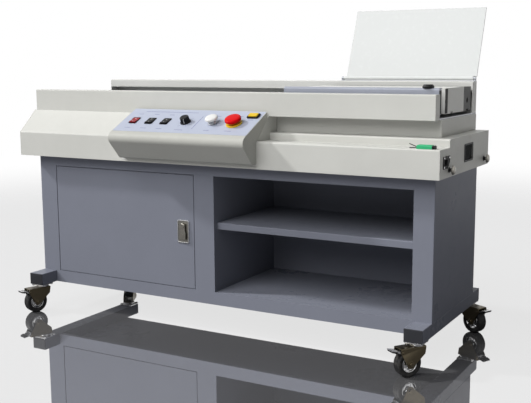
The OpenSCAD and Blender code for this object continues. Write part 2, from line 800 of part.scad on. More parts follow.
// A boxed wall with a solid band over a long open slot
module rear_wall() {
    inner = [channel_y1 + cover_t, bench_y1 - cover_t];
    color("#dcdcd6") in_place() difference() {
        block([wall_left, bench_right], [channel_y1, bench_y1], [pan_z, wall_top_z]);
        block([wall_left + cover_t, bench_right - cover_t], inner, [pan_z - 1, wall_top_z - cover_t]);
        block([wall_left + cover_t, bench_right - cover_t], [channel_y1 - 1, inner[0] + 1], [pan_z + 3, band_z]);
    }
}

module guide_rails() {
    color("#8a8c90") in_place()
        for (y = guide_ys)
            block([motor_x1 + 5, bench_right - 45], [y, y + guide_w], [pan_z, pan_z + guide_h]);
}

// Grooves that run on the guide rails
module rail_grooves() {
    for (y = guide_ys)
        block([bench_left, bench_right], [y - slide_gap, y + guide_w + slide_gap],
              [pan_z, pan_z + guide_h + slide_gap]);
}

module carriage() {
    color("#44454b") in_place() difference() {
        block([block_left, carriage_right], [block_y1, carriage_y1], [carriage_z, block_top_z - 1]);
        rail_grooves();
        rod_x(block_left - 1, carriage_right + 1, screw_y, screw_z, screw_r + run_fit);
    }
}

module clamp_block() {
    color("#d6d6d2") in_place() difference() {
        block([block_left, carriage_right], [block_y0, block_y1], [carriage_z, block_top_z]);
        rail_grooves();
        for (x = stud_xs)
            rod_y(block_y0 - 1, block_y0 + stud_l + 4, x, stud_z, stud_r + run_fit);
    }
}

module clamp_jaw() {
    color("#8f93a6") in_place() {
        block([jaw_left, jaw_right], [jaw_y0, jaw_y1], [jaw_z, jaw_top_z]);
        for (x = stud_xs)
            rod_y(jaw_y1, jaw_y1 + stud_l, x, stud_z, stud_r);
    }
}

module clamp_knob() {
    r = clamp_knob_d / 2;
    color("#17171a") in_place()
        translate([clamp_knob_x, jaw_y0 + jaw_t / 2, jaw_top_z + slide_gap]) rotate_extrude()
            polygon([[0, 0], [r, 0], [r, 3], [r - 3, clamp_knob_h - 1], [r - 4.5, clamp_knob_h], [0, clamp_knob_h]]);
}

module drive_motor() {
    color("#3c3f45") in_place() {
        block([motor_x1 - 74, motor_x1 - 8], [screw_y - 24, screw_y + 24], [pan_z, pan_z + 50]);
        rod_x(motor_x1 - 8, motor_x1, screw_y, screw_z, 12);
    }
}

module drive_screw() {
    color("#b5b7bb") in_place() rod_x(motor_x1, carriage_right - 14, screw_y, screw_z, screw_r);
}

// ---------- Book board ----------

module board_hinge() {
    color("#8f8f8c") in_place() {
        block([hinge_left, hinge_right], [board_pivot[0] - 6, bench_y1], [wall_top_z, wall_top_z + 1.5]);
        for (x = [hinge_left, hinge_right - lug_w]) {
            block([x, x + lug_w], [board_pivot[0] - 4, board_pivot[0] + 4], [wall_top_z + 1.5, board_pivot[1]]);
            rod_x(x, x + lug_w, board_pivot[0], board_pivot[1], 5);
        }
        rod_x(hinge_left, hinge_right, board_pivot[0], board_pivot[1], hinge_pin_r);
    }
}

module book_board() {
    barrel = [hinge_left + lug_w + slide_gap, hinge_right - lug_w - slide_gap];
    board = [hinge_right + 2 - board_w, hinge_right + 2];
    web_in = (barrel_r + hinge_pin_r) / 2;
    color("#e6e9e6") in_place() difference() {
        union() {
            rod_x(barrel[0], barrel[1], board_pivot[0], board_pivot[1], barrel_r);
            translate([0, board_pivot[0], board_pivot[1]]) rotate([-board_lean, 0, 0]) {
                block([board[0] + 1, barrel[1] - 1], [-board_t / 2, board_t / 2], [web_in, barrel_r + 2]);
                block(board, [-board_t / 2, board_t / 2], [barrel_r + 1, barrel_r + 1 + board_l]);
            }
        }
        rod_x(hinge_left, hinge_right, board_pivot[0], board_pivot[1], hinge_pin_r + run_fit);
    }
}

// ---------- Stations under the clamp ----------

module milling_motor() {
    color("#3f5f7a") in_place() {
        flange_z = bench_z - mill_flange[2];
        flange_y = spine_y + mill_motor_r + 2;
        block([cutter_x - mill_flange[0] / 2, cutter_x + mill_flange[0] / 2],
              [max(channel_y0 + 1, flange_y - mill_flange[1]), flange_y], [flange_z, bench_z]);
        rod_z(flange_z - mill_motor_h, flange_z, cutter_x, spine_y, mill_motor_r);
        rod_z(bench_z - 1, cutter_z + cutter_h - 1, cutter_x, spine_y, cutter_hub_r);
    }
}

// A face cutter with twelve teeth round its rim
module milling_cutter() {
    teeth = 12;
    color("#a9abb0") in_place() translate([cutter_x, spine_y, cutter_z]) difference() {
        cylinder(h = cutter_h, r = cutter_r);
        translate([0, 0, -1]) cylinder(h = cutter_h, r = cutter_hub_r + run_fit);
        for (i = [0 : teeth - 1])
            rotate([0, 0, i * 360 / teeth]) translate([cutter_r - 8, -2, -1]) cube([12, 4, cutter_h + 2]);
    }
}

module glue_tank() {
    outer_x = [tank_x - tank_w / 2, tank_x + tank_w / 2];
    bottom = pan_z - tank_h;
    color("#a7a8aa") in_place() difference() {
        union() {
            block(outer_x, [tank_y0, tank_y1], [bottom, pan_z + 1]);
            block([outer_x[0] - tank_rim, outer_x[1] + tank_rim], [tank_y0 - 2, tank_y1 + tank_rim], [pan_z, pan_z + 2]);
        }
        block([outer_x[0] + tank_t, outer_x[1] - tank_t], [tank_y0 + tank_t, tank_y1 - tank_t],
              [bottom + tank_t, pan_z + 3]);
        for (side = [-1, 1])
            rod_y(tank_y0 - 1, tank_y1 + 1, tank_x + side * roller_pitch / 2, roller_z, roller_shaft_r + run_fit);
    }
}

module glue_roller(side) {
    x = tank_x + side * roller_pitch / 2;
    color("#c4a565") in_place() {
        rod_y(tank_y0 + tank_t + 1, tank_y1 - tank_t - 1, x, roller_z, roller_r);
        rod_y(tank_y0, tank_y1, x, roller_z, roller_shaft_r);
    }
}

module glue_roller_left() { glue_roller(-1); }
module glue_roller_right() { glue_roller(1); }

module nip_jaw(side) {
    y0 = side < 0 ? spine_y - nip_gap / 2 - nip_d : spine_y + nip_gap / 2;
    color("#9fa1a6") in_place() block([nip_left, nip_right], [y0, y0 + nip_d], [nip_z + 0.2, nip_z + nip_h]);
}

module nip_jaw_front() { nip_jaw(-1); }
module nip_jaw_rear() { nip_jaw(1); }

// ---------- Control box ----------

// A point on the panel: x along the machine, s up the slope; local +Z leaves the panel
module on_panel(x, s) {
    in_place() translate([x, panel_y, panel_z]) rotate([panel_slope, 0, 0]) translate([0, s, 0]) children();
}

// Where each control sits, from the box's left end
RED_X = box_left + 47;
MILL_X = box_left + 108;
FEED_X = box_left + 166;
HEAT_X = box_left + 241;
START_X = box_left + 339;
STOP_X = box_left + 414;
RESET_AT = [box_left + 458, switch_s + 45];

module control_box() {
    under = 222;
    foot_y = cov_front - 27;
    foot_z = cabinet_top_z + 18;
    roll = [panel_y + box_roll_r * sin(panel_slope), panel_z - box_roll_r * cos(panel_slope)];
    outline = concat(
        [[cov_front, foot_z - 4], [foot_y + 6, foot_z - 4]],
        arc([foot_y + 4, foot_z + 4], 6, 250, under, 3),
        arc(roll, box_roll_r, under, 90 + panel_slope, 12),
        [[panel_back_y, panel_back_z],
         [panel_back_y, ledge_z + (panel_back_y - cov_front) * hood_slope], [cov_front, ledge_z]]);
    hollow = [
        [cov_front - box_t, foot_z], [foot_y + 6, foot_z],
        each arc(roll, box_roll_r - box_t, under, 90 + panel_slope, 4),
        [panel_back_y - box_t, panel_back_z - box_t * (tan(panel_slope) + 1 / cos(panel_slope))],
        [panel_back_y - box_t, ledge_z + (panel_back_y - cov_front) * hood_slope + box_t],
        [cov_front - box_t, ledge_z + box_t]];
    difference() {
        color("#c8c8c2") in_place() difference() {
            profile_x(box_left, hood_right, outline);
            profile_x(box_left + box_t, hood_right - box_t, hollow);
        }
        for (x = [RED_X, MILL_X, FEED_X])
            on_panel(x, switch_s) translate([-rocker_w / 2 + 2, -rocker_l / 2 + 2, -12])
                cube([rocker_w - 4, rocker_l - 4, 20]);
        on_panel(HEAT_X, switch_s) translate([0, 0, -12]) cylinder(h = 20, r = 3 + run_fit);
        on_panel(START_X, switch_s) translate([0, 0, -12]) cylinder(h = 20, r = 8 + run_fit);
        on_panel(STOP_X, switch_s) translate([0, 0, -12]) cylinder(h = 20, r = 8 + run_fit);
        on_panel(RESET_AT[0], RESET_AT[1]) translate([0, 0, -12]) cylinder(h = 20, r = 6 + run_fit);
    }
}

// A rocker with its two faces meeting in a shallow valley, its body reaching into the box
module rocker(x) {
    w = rocker_w / 2 - 2.4;
    on_panel(x, switch_s) translate([-w, 0, 0]) rotate([90, 0, 90]) linear_extrude(2 * w)
        polygon([[-rocker_l / 2 + 3, 6], [0, 3], [rocker_l / 2 - 3, 2.6],
                 [rocker_l / 2 - 5, -4], [-rocker_l / 2 + 5, -4]]);
}

module mains_rocker() { color("#d8222f") rocker(RED_X); }
module mill_rocker() { color("#1e1e22") rocker(MILL_X); }
module feed_rocker() { color("#1e1e22") rocker(FEED_X); }

// A skirted knob with a rib that points at the dial
module heat_knob() {
    r = heat_knob_d / 2;
    color("#17181b") on_panel(HEAT_X, switch_s) rotate([0, 0, -70]) {
        translate([0, 0, -6]) cylinder(h = 10, r = 3);
        translate([0, 0, slide_gap]) cylinder(h = 4, r = r);
        translate([0, 0, 3]) cylinder(h = 17, r = r - 3);
        translate([-2.5, 0, 3]) cube([5, r - 0.5, 15]);
    }
}

// A push button's stem with a domed head of radius r, from the height at
module push_button(r, at, h) {
    translate([0, 0, -6]) cylinder(h = at + 8, r = 8);
    translate([0, 0, at]) rotate_extrude() polygon(concat(
        [[0, 0], [r - 5, 0], [r - 1, 2], [r, 4], [r, h - 5]], arc([r - 4, h - 5], 4, 0, 75, 5), [[0, h]]));
}

module start_button() {
    color("#f1f1ee") on_panel(START_X, switch_s) push_button(start_d / 2, 13, 10);
}

module stop_collar() {
    color("#f2cd1e") on_panel(STOP_X, switch_s) difference() {
        cylinder(h = 5, r = stop_d / 2);
        translate([0, 0, -1]) cylinder(h = 9, r = 8 + run_fit);
    }
}

module stop_button() {
    color("#dd2027") on_panel(STOP_X, switch_s) push_button(stop_d / 2, 12, 11);
}

module reset_button() {
    color("#e8c51c") on_panel(RESET_AT[0], RESET_AT[1]) {
        translate([0, 0, -6]) cylinder(h = 10, r = 6);
        translate([-15, -9, 3.5]) cube([30, 18, 5]);
    }
}

foot_rails();
front_frame();
cabinet_sides();
cabinet_back();
cabinet_divider();
cabinet_floor();
bay_shelf();
cabinet_door();
door_handle();
door_handle_dish();
caster_plates();
caster_fork_front_left();
caster_fork_front_right();
caster_fork_rear_left();
caster_fork_rear_right();
caster_wheel_front_left();
caster_wheel_front_right();
caster_wheel_rear_left();
caster_wheel_rear_right();
brake_pedal_front_left();
brake_pedal_front_right();
brake_pedal_rear_left();
brake_pedal_rear_right();
machine_base();
front_cover();
side_plates();
rear_cover();
power_inlet();
side_window();
side_knobs();
side_lay();
neck_cover();
bench_floor();
front_beam();
rear_wall();
guide_rails();
carriage();
clamp_block();
clamp_jaw();
clamp_knob();
drive_motor();
drive_screw();
board_hinge();
book_board();
milling_motor();
milling_cutter();
glue_tank();
glue_roller_left();
glue_roller_right();
nip_jaw_front();
nip_jaw_rear();
control_box();
mains_rocker();
mill_rocker();
feed_rocker();
heat_knob();
start_button();
stop_collar();
stop_button();
reset_button();
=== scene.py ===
"""Looks of a floor-standing perfect binding machine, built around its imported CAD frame.

Laid out as an add-on: sizes and colours are properties, each group of pieces has an operator,
and main() calls the operators in order. Pieces are modelled in millimetres on the machine's
drawing, whose origin is the middle of the cover's width, the middle of the cabinet's depth and
the floor, and finished() puts them into the model.
"""

import json
import math

import bmesh
import bpy
from bpy.props import FloatProperty, FloatVectorProperty, IntProperty, PointerProperty
from bpy.types import Operator, Panel, PropertyGroup
from mathutils import Matrix, Vector

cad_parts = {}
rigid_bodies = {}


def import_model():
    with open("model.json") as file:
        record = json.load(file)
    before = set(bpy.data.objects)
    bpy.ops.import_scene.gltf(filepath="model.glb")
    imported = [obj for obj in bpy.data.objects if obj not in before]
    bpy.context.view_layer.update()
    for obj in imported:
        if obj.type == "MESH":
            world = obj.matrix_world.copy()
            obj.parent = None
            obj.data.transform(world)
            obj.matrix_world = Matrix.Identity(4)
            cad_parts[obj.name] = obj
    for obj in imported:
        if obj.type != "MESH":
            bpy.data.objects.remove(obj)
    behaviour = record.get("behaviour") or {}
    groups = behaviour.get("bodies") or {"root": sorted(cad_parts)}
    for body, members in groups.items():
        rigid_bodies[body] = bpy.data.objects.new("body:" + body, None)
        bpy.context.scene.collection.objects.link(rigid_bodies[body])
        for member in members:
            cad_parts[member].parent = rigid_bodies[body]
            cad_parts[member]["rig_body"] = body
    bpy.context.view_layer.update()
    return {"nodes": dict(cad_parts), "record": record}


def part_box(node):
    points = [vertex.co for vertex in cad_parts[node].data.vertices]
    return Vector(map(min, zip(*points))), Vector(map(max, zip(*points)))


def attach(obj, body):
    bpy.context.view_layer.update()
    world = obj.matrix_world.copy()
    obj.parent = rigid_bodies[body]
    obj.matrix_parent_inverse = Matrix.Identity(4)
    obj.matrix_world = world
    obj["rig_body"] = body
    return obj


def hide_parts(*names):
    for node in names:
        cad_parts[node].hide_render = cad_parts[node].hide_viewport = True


bl_info = {
    "name": "Perfect Binding Machine",
    "version": (1, 0, 0),
    "blender": (4, 5, 0),
    "location": "3D View > Sidebar > Binder",
    "description": "Models and finishes the visible pieces of a perfect binding machine",
    "category": "Add Mesh",
}

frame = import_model()
MM = 0.001
CABINET_REAR = 192
CREASE = math.radians(32)

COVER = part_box("front_cover")
DRAWING = Vector(((COVER[0].x + COVER[1].x) / 2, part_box("cabinet_back")[1].y - CABINET_REAR * MM, 0))
TO_MODEL = Matrix.Translation(DRAWING) @ Matrix.Scale(MM, 4)
TO_DRAWING = TO_MODEL.inverted()


def span(node):
    """A CAD node's two corners on the drawing."""
    return [TO_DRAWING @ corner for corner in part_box(node)]


def middle(node):
    """The middle of a CAD node on the drawing, as x, y and z."""
    return [(a + b) / 2 for a, b in zip(*span(node))]


def moved(x=0.0, y=0.0, z=0.0):
    return Matrix.Translation((x, y, z))


def turn(angle, axis):
    return Matrix.Rotation(math.radians(angle), 4, axis)


# The control panel's lower edge, and how far up the slope its two rows of controls are
PANEL_EDGE = moved(0, -303, 638) @ turn(26.6, "X")
ROW, UPPER_ROW = 73.0, 118

# Each caster's swivel axis and the way it trails, then its axle and pedal pivot where it trails along X
CASTERS = {
    "front_left": (-674.5, -237, 253), "front_right": (692.5, -237, 235),
    "rear_left": (-674.5, 237, 118), "rear_right": (692.5, 237, -27),
}
AXLE_X, AXLE_Z = 29, 37.5
PIVOT_X, PIVOT_Z = 55, 73.5

RAIL_WIDTH = 55
LEDGE_TOP = 620
STEP_EDGE = (-155, 642)
SCREW_Z = 735
BOARD_PIN_Y, BOARD_PIN_Z, PIN_REACH = 206, 797.5, 3.3


def on_panel(x, s=ROW, h=0.0):
    """A place on the control panel: x along the machine, s up the slope, h off the face."""
    return PANEL_EDGE @ moved(x, s, h)


def linear(*channels):
    """A colour written as the usual 0 to 255 numbers, as the linear one that shaders take."""
    return tuple(c / 255 / 12.92 if c <= 10 else ((c / 255 + 0.055) / 1.055) ** 2.4 for c in channels)


def tint(label, help_text, *channels):
    return FloatVectorProperty(
        name=label, description=help_text, subtype="COLOR", size=3, min=0, max=1, default=linear(*channels)
    )


def length(label, help_text, value, low, high):
    return FloatProperty(
        name=label, description=help_text, subtype="DISTANCE", unit="LENGTH", default=value, min=low, max=high
    )


def strength(label, help_text, value):
    return FloatProperty(name=label, description=help_text, default=value, min=0)


# ---------- What a user may change ----------


class BinderFinish(PropertyGroup):
    """Colours and edge sizes of the machine's finishes"""

    cover: tint("Cover paint", "Warm white paint of the covers and the bench", 196, 196, 191)
    cabinet: tint("Cabinet paint", "Blue-grey paint of the cabinet", 122, 125, 136)
    # The control box uses the cover's paint darkened as painted shade, so its downward-facing front reads darker than
    # the lamps make it
    box: tint("Control box", "Slightly darker paint of the control box", 180, 180, 174)
    board: tint("Book board", "Pale plastic of the book board", 202, 204, 203)
    block: tint("Clamp block", "Light paint of the clamp block and the rear wall", 208, 208, 204)
    jaw: tint("Clamp jaw", "Blue-grey metal of the clamp jaw", 146, 150, 162)
    carriage: tint("Carriage", "Dark paint of the carriage", 86, 86, 85)
    panel: tint("Control face", "Pale lavender face of the controls", 168, 174, 190)
    print: tint("Panel marks", "Printed marks on the control face", 70, 74, 132)
    zinc: tint("Bright metal", "Zinc-plated pedals, caster plates and wheel hubs", 205, 205, 206)
    nickel: tint("Nickel", "Satin nickel of the door handle and the side knobs", 142, 139, 132)
    chrome: tint("Dark chrome", "Forks of the casters", 92, 84, 68)
    cap: tint("Tube caps", "Dark plastic caps of the foot rails", 60, 61, 65)
    steel: tint("Bare steel", "Ground steel of the base, rails, screw and tools", 150, 152, 156)
    black: tint("Black plastic", "Clamp and heat knobs, black rockers and pedal pads", 24, 24, 26)
    # The tyre colour also paints dark sheets of painted shade on the clamp's ends
    tyre: tint("Tyre", "Rubber of the wheels, the linings and the inlet", 28, 28, 29)
    lamp_red: tint("Mains rocker", "Dark red of the mains rocker", 138, 18, 30)
    red: tint("Stop button", "Signal red of the stop button", 200, 10, 16)
    yellow: tint("Yellow plastic", "Stop collar and reset button", 214, 178, 30)
    green: tint("Green plastic", "Grip of the side lay", 52, 164, 112)
    white: tint("White plastic", "Start button and the marks on rockers and knob", 214, 214, 212)
    motor: tint("Motor paint", "Dark blue-grey motor paint", 52, 66, 82)
    bronze: tint("Roller metal", "Bronze of the glue rollers", 196, 158, 88)
    glass: tint("Window pane", "Dark pane behind the side window's bars", 34, 42, 40)
    edge: length("Sheet edge", "Radius on the cut edges of sheet metal", 0.0006, 0.0001, 0.002)
    fold: length("Sheet fold", "Outer radius of the folds in sheet metal", 0.004, 0.001, 0.008)
    flutes: IntProperty(name="Knob flutes", description="Grip flutes round the heat knob", default=20, min=8, max=40)


class BinderStage(PropertyGroup):
    """Light, floor and camera"""

    key: strength("Key light", "Strength of the light from the upper left", 2.6)
    fill: strength("Front light", "Strength of the wide light from the front", 2.35)
    sky: strength("Sky light", "Strength of the even light from all sides", 0.09)
    mirror: FloatProperty(
        name="Floor reflection", description="Share of mirror reflection in the floor", subtype="FACTOR",
        default=0.74, min=0, max=1,
    )
    floor: tint("Floor", "Colour of the pale floor", 136, 136, 138)
    focal: FloatProperty(name="Focal length", description="Lens of the camera", unit="CAMERA", default=60.6, min=10)


# ---------- Shader trees ----------


class Flow:
    """One output of a shader tree; arithmetic on it adds the Math nodes."""

    def __init__(self, finish, socket):
        self.finish, self.socket = finish, socket

    def math(self, operation, *terms):
        return self.finish.node("Math", {"operation": operation}, dict(enumerate(terms)))

    def __add__(self, other):
        return self.math("ADD", self, other)

    __radd__ = __add__

    def __sub__(self, other):
        return self.math("SUBTRACT", self, other)

    def __rsub__(self, other):
        return self.math("SUBTRACT", other, self)

    def __mul__(self, other):
        return self.math("MULTIPLY", self, other)

    __rmul__ = __mul__

    def eased(self, low, high):
        """0 up to low, 1 from high on, smooth between them."""
        return self.finish.node(
            "MapRange", {"interpolation_type": "SMOOTHSTEP"},
            {"Value": self, "From Min": low, "From Max": high},
        )


class Finish:
    """A material whose nodes are made through one method."""

    def __init__(self, name):
        self.material = bpy.data.materials.new(name)
        self.material.use_nodes = True
        self.tree = self.material.node_tree
        self.tree.nodes.clear()

    def node(self, kind, settings=None, inputs=None, output=0):
        """Adds a node: its settings first, then its sockets' values or links. Returns one output."""
        made = self.tree.nodes.new("ShaderNode" + kind)
        for key, value in (settings or {}).items():
            setattr(made, key, value)
        for key, value in (inputs or {}).items():
            socket = made.inputs[key]
            if isinstance(value, Flow):
                self.tree.links.new(value.socket, socket)
            elif socket.type == "RGBA" and len(value) == 3:
                socket.default_value = (*value, 1)
            else:
                socket.default_value = value
        return Flow(self, made.outputs[output])

    def place(self):
        return self.node("TexCoord", output="Object")

    def stretched(self, scale):
        return self.node("Mapping", None, {"Vector": self.place(), "Scale": scale})

    def noise(self, scale, detail, vector=None):
        return self.node(
            "TexNoise", None,
            {"Vector": vector or self.place(), "Scale": scale, "Detail": detail, "Roughness": 0.55},
        )

    def mix(self, share, first, second):
        """Colour mixed from first to second."""
        return self.node("Mix", {"data_type": "RGBA"}, {0: share, 6: first, 7: second}, 2)

    def bump(self, height, distance, strength):
        return self.node("Bump", None, {"Height": height, "Distance": distance, "Strength": strength})

    def shade(self, **sockets):
        """Ends the tree in a Principled shader. Keyword names are its sockets, with _ for a space."""
        inputs = {key.replace("_", " "): value for key, value in sockets.items()}
        self.ended(self.node("BsdfPrincipled", None, inputs))
        return self.material

    def ended(self, surface):
        self.tree.links.new(surface.socket, self.tree.nodes.new("ShaderNodeOutputMaterial").inputs["Surface"])


def deeper(colour, share):
    return tuple(min(1, c * share) for c in colour)


def painted(name, colour, rough=0.42, ior=1.42, grain=900, depth=0.00004, clouds=5):
    """Powder coat: a faint orange peel, clouds of tone and a few dull smudges."""
    finish = Finish(name)
    cloud = finish.noise(clouds, 4).eased(0.3, 0.75)
    peel = finish.noise(grain, 2)
    smudge = finish.noise(31, 5).eased(0.45, 0.8)
    tone = finish.mix(cloud, deeper(colour, 0.965), deeper(colour, 1.025))
    tone = finish.mix(smudge * 0.25, tone, deeper(colour, 0.93))
    return finish.shade(
        Base_Color=tone, Roughness=rough + smudge * 0.10 - cloud * 0.04, IOR=ior,
        Normal=finish.bump(peel, depth, 0.35),
    )


def brushed(name, colour, along="X", rough=0.34):
    """Ground metal with fine lines along one axis."""
    finish = Finish(name)
    scale = {"X": (6, 700, 700), "Y": (700, 6, 700), "Z": (700, 700, 6)}[along]
    lines = finish.noise(1, 3, finish.stretched(scale))
    patch = finish.noise(24, 4).eased(0.35, 0.75)
    return finish.shade(
        Base_Color=finish.mix(lines.eased(0.3, 0.7), deeper(colour, 0.86), deeper(colour, 1.05)), Metallic=1.0,
        Roughness=rough + lines * 0.10 + patch * 0.10, Normal=finish.bump(lines, 0.00003, 0.3),
    )


def plated(name, colour, rough=0.16):
    """Zinc, nickel or chrome with faint smears."""
    finish = Finish(name)
    smear = finish.noise(60, 4).eased(0.35, 0.8)
    ripple = finish.noise(160, 2)
    return finish.shade(
        Base_Color=finish.mix(smear, colour, deeper(colour, 0.82)), Metallic=1.0,
        Roughness=rough + smear * 0.16, Normal=finish.bump(ripple, 0.00006, 0.12),
    )


def moulded(name, colour, rough=0.38, grain=1400, depth=0.00003, ior=1.46):
    """Plastic with a fine spark-eroded grain."""
    finish = Finish(name)
    fine = finish.noise(grain, 2)
    wear = finish.noise(70, 4).eased(0.5, 0.85)
    return finish.shade(
        Base_Color=finish.mix(wear * 0.5, colour, tuple(min(1, c * 1.1 + 0.004) for c in colour)),
        Roughness=rough + wear * 0.12, IOR=ior, Normal=finish.bump(fine, depth, 0.4),
    )


def rubber(name, colour):
    """Tyre rubber: matt, with scuffs and floor dust."""
    finish = Finish(name)
    scuff = finish.noise(90, 5).eased(0.45, 0.8)
    return finish.shade(
        Base_Color=finish.mix(scuff * 0.5, colour, linear(84, 82, 79)),
        Roughness=0.66 + scuff * 0.15, IOR=1.3, Normal=finish.bump(finish.noise(700, 3), 0.0001, 0.5),
    )


# ---------- Modelling, in millimetres on the drawing ----------


def bevelled(bm, edges, width, segments=2):
    bmesh.ops.bevel(
        bm, geom=edges, offset=width, offset_type="OFFSET", segments=segments, profile=0.5, affect="EDGES",
        material=-1, clamp_overlap=True,
    )


def round_edges(bm, width, segments=2, angle=30):
    """Rounds every edge that is sharper than the angle."""
    bevelled(
        bm, [e for e in bm.edges if len(e.link_faces) == 2 and e.calc_face_angle(0) > math.radians(angle)],
        width, segments,
    )


def fold_edges(bm, width, axis, *spots, segments=5):
    """Rounds the edges that run along an axis (0 for X) and pass through a spot on the other two axes."""
    others = [i for i in range(3) if i != axis]

    def runs(edge):
        a, b = (v.co for v in edge.verts)
        return abs(a[axis] - b[axis]) > 1 and any(
            all(abs(a[i] - s) < 0.06 and abs(b[i] - s) < 0.06 for i, s in zip(others, spot)) for spot in spots
        )

    bevelled(bm, [e for e in bm.edges if len(e.link_faces) == 2 and runs(e)], width, segments)


def slab(low, high, edge=0.0, segments=2):
    """A block between two corners, with rounded edges."""
    bm = bmesh.new()
    low, high = Vector(low), Vector(high)
    bmesh.ops.create_cube(bm, size=1, matrix=moved(*(low + high) / 2) @ Matrix.Diagonal((*(high - low), 1)))
    if edge:
        bevelled(bm, bm.edges[:], edge, segments)
    return bm


def strung(bm, points, closed=True):
    """Edges from each point to the next."""
    after = points[1:] + points[:1] if closed else points[1:]
    return [bm.edges.new(pair) for pair in zip(points, after)]


def edges_above(bm, z):
    return [e for e in bm.edges if min(v.co.z for v in e.verts) > z]


def put(bm, place):
    """Moves all of bm by a matrix."""
    bmesh.ops.transform(bm, matrix=place, verts=bm.verts)


def raised(bm, height):
    """Gives the flat faces of bm a thickness along Z."""
    top = bmesh.ops.extrude_face_region(bm, geom=bm.faces[:])["geom"]
    bmesh.ops.translate(bm, vec=(0, 0, height), verts=[v for v in top if isinstance(v, bmesh.types.BMVert)])
    bmesh.ops.recalc_face_normals(bm, faces=bm.faces)


def prism(outline, low, high, edge=0.0, segments=2, angle=30):
    """An outline of (x, y) points carried from z = low to z = high."""
    bm = bmesh.new()
    bm.faces.new([bm.verts.new((x, y, low)) for x, y in outline])
    raised(bm, high - low)
    if edge:
        round_edges(bm, edge, segments, angle)
    return bm


def pierced(outer, holes, low, high, edge=0.0):
    """A plate with holes, from loops of (x, y) points, carried from z = low to z = high."""
    bm = bmesh.new()
    edges = []
    for loop in (outer, *holes):
        edges += strung(bm, [bm.verts.new((x, y, low)) for x, y in loop])
    bmesh.ops.triangle_fill(bm, use_beauty=True, use_dissolve=False, edges=edges)
    raised(bm, high - low)
    if edge:
        round_edges(bm, edge)
    return bm


def rounded_box(width, height, radius, x=0.0, y=0.0, steps=5):
    """The outline of a rectangle with round corners about (x, y)."""
    corners = [(1, 1, 0), (-1, 1, 90), (-1, -1, 180), (1, -1, 270)]
    return [
        (x + i * (width / 2 - radius) + radius * math.cos(math.radians(start + 90 * n / steps)),
         y + j * (height / 2 - radius) + radius * math.sin(math.radians(start + 90 * n / steps)))
        for i, j, start in corners for n in range(steps + 1)
    ]


def ring(radius, x=0.0, y=0.0, count=40):
    """Points of a circle; few of them give a hexagon, and a list of radii gives flutes."""
    radii = radius if isinstance(radius, list) else [radius]
    angles = [math.tau * n / count for n in range(count)]
    return [
        (x + radii[n % len(radii)] * math.cos(a), y + radii[n % len(radii)] * math.sin(a))
        for n, a in enumerate(angles)
    ]


def mirrored(half, length=0):
    """An outline of (radius, height) points, then its mirror image back from the far end of a length."""
    return half + [(r, length - h) for r, h in reversed(half)]


def turned(outline, steps=48, closed=False):
    """A piece turned about Z from an outline of (radius, height) points."""
    bm = bmesh.new()
    points = [bm.verts.new((r, 0, h)) for r, h in outline]
    bmesh.ops.spin(
        bm, geom=points + strung(bm, points, closed), cent=(0, 0, 0), axis=(0, 0, 1), angle=math.tau, steps=steps,
        use_merge=True,
    )
    bmesh.ops.remove_doubles(bm, verts=bm.verts, dist=1e-4)
    bmesh.ops.recalc_face_normals(bm, faces=bm.faces)
    return bm


def rod(start, end, radius, sides, edge=0.0):
    """A round bar between two points."""
    bm = bmesh.new()
    start, end = Vector(start), Vector(end)
    facing = (end - start).to_track_quat("Z", "Y").to_matrix().to_4x4()
    bmesh.ops.create_cone(
        bm, cap_ends=True, segments=sides, radius1=radius, radius2=radius, depth=(end - start).length,
        matrix=moved(*(start + end) / 2) @ facing,
    )
    if edge:
        round_edges(bm, edge, 2, 50)
    return bm


def bolt(flats, height):
    """A hexagon head standing on z = 0, its upper corners chamfered."""
    side = height * 0.8
    bm = prism(ring(flats / math.sqrt(3), count=6), 0, side)
    return join(bm, turned([(0, side), (flats / 2, side), (flats / 2 - height * 0.2, height), (0, height)], 18))


def meshed(name, bm):
    """Makes a mesh of bm, and frees it."""
    mesh = bpy.data.meshes.new(name)
    bm.to_mesh(mesh)
    bm.free()
    return mesh


def shown(name, data):
    """An object of the scene with the data."""
    made = bpy.data.objects.new(name, data)
    bpy.context.scene.collection.objects.link(made)
    return made


def join(bm, other, place=None):
    """Adds another piece to bm, and frees it."""
    if place:
        put(other, place)
    mesh = meshed("joined", other)
    bm.from_mesh(mesh)
    bpy.data.meshes.remove(mesh)
    return bm


def figure(text, size, height):
    """A plain numeral or sign as a raised mark about the origin."""
    curve = bpy.data.curves.new("figure", "FONT")
    curve.body, curve.size, curve.extrude = text, size, height / 2
    curve.align_x, curve.align_y = "CENTER", "CENTER"
    holder = bpy.data.objects.new("figure", curve)
    mesh = bpy.data.meshes.new_from_object(holder)
    bm = bmesh.new()
    bm.from_mesh(mesh)
    bmesh.ops.remove_doubles(bm, verts=bm.verts, dist=1e-4)
    bmesh.ops.translate(bm, vec=(0, 0, height / 2), verts=bm.verts)
    bpy.data.objects.remove(holder)
    bpy.data.curves.remove(curve)
    bpy.data.meshes.remove(mesh)
    return bm


def copied(node):
    """A CAD node's mesh on the drawing, its loose triangles joined into flat faces."""
    bm = bmesh.new()
    bm.from_mesh(frame["nodes"][node].data)
    put(bm, TO_DRAWING)
    bmesh.ops.remove_doubles(bm, verts=bm.verts, dist=0.002)
    bmesh.ops.dissolve_limit(
        bm, angle_limit=math.radians(0.4), verts=bm.verts, edges=bm.edges, use_dissolve_boundaries=False,
    )
    return bm


def body_of(node):
    return frame["nodes"][node]["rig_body"]


def slot_of(node):
    return next(s["material_slot"] for s in frame["record"]["subparts"] if s["node"] == node)


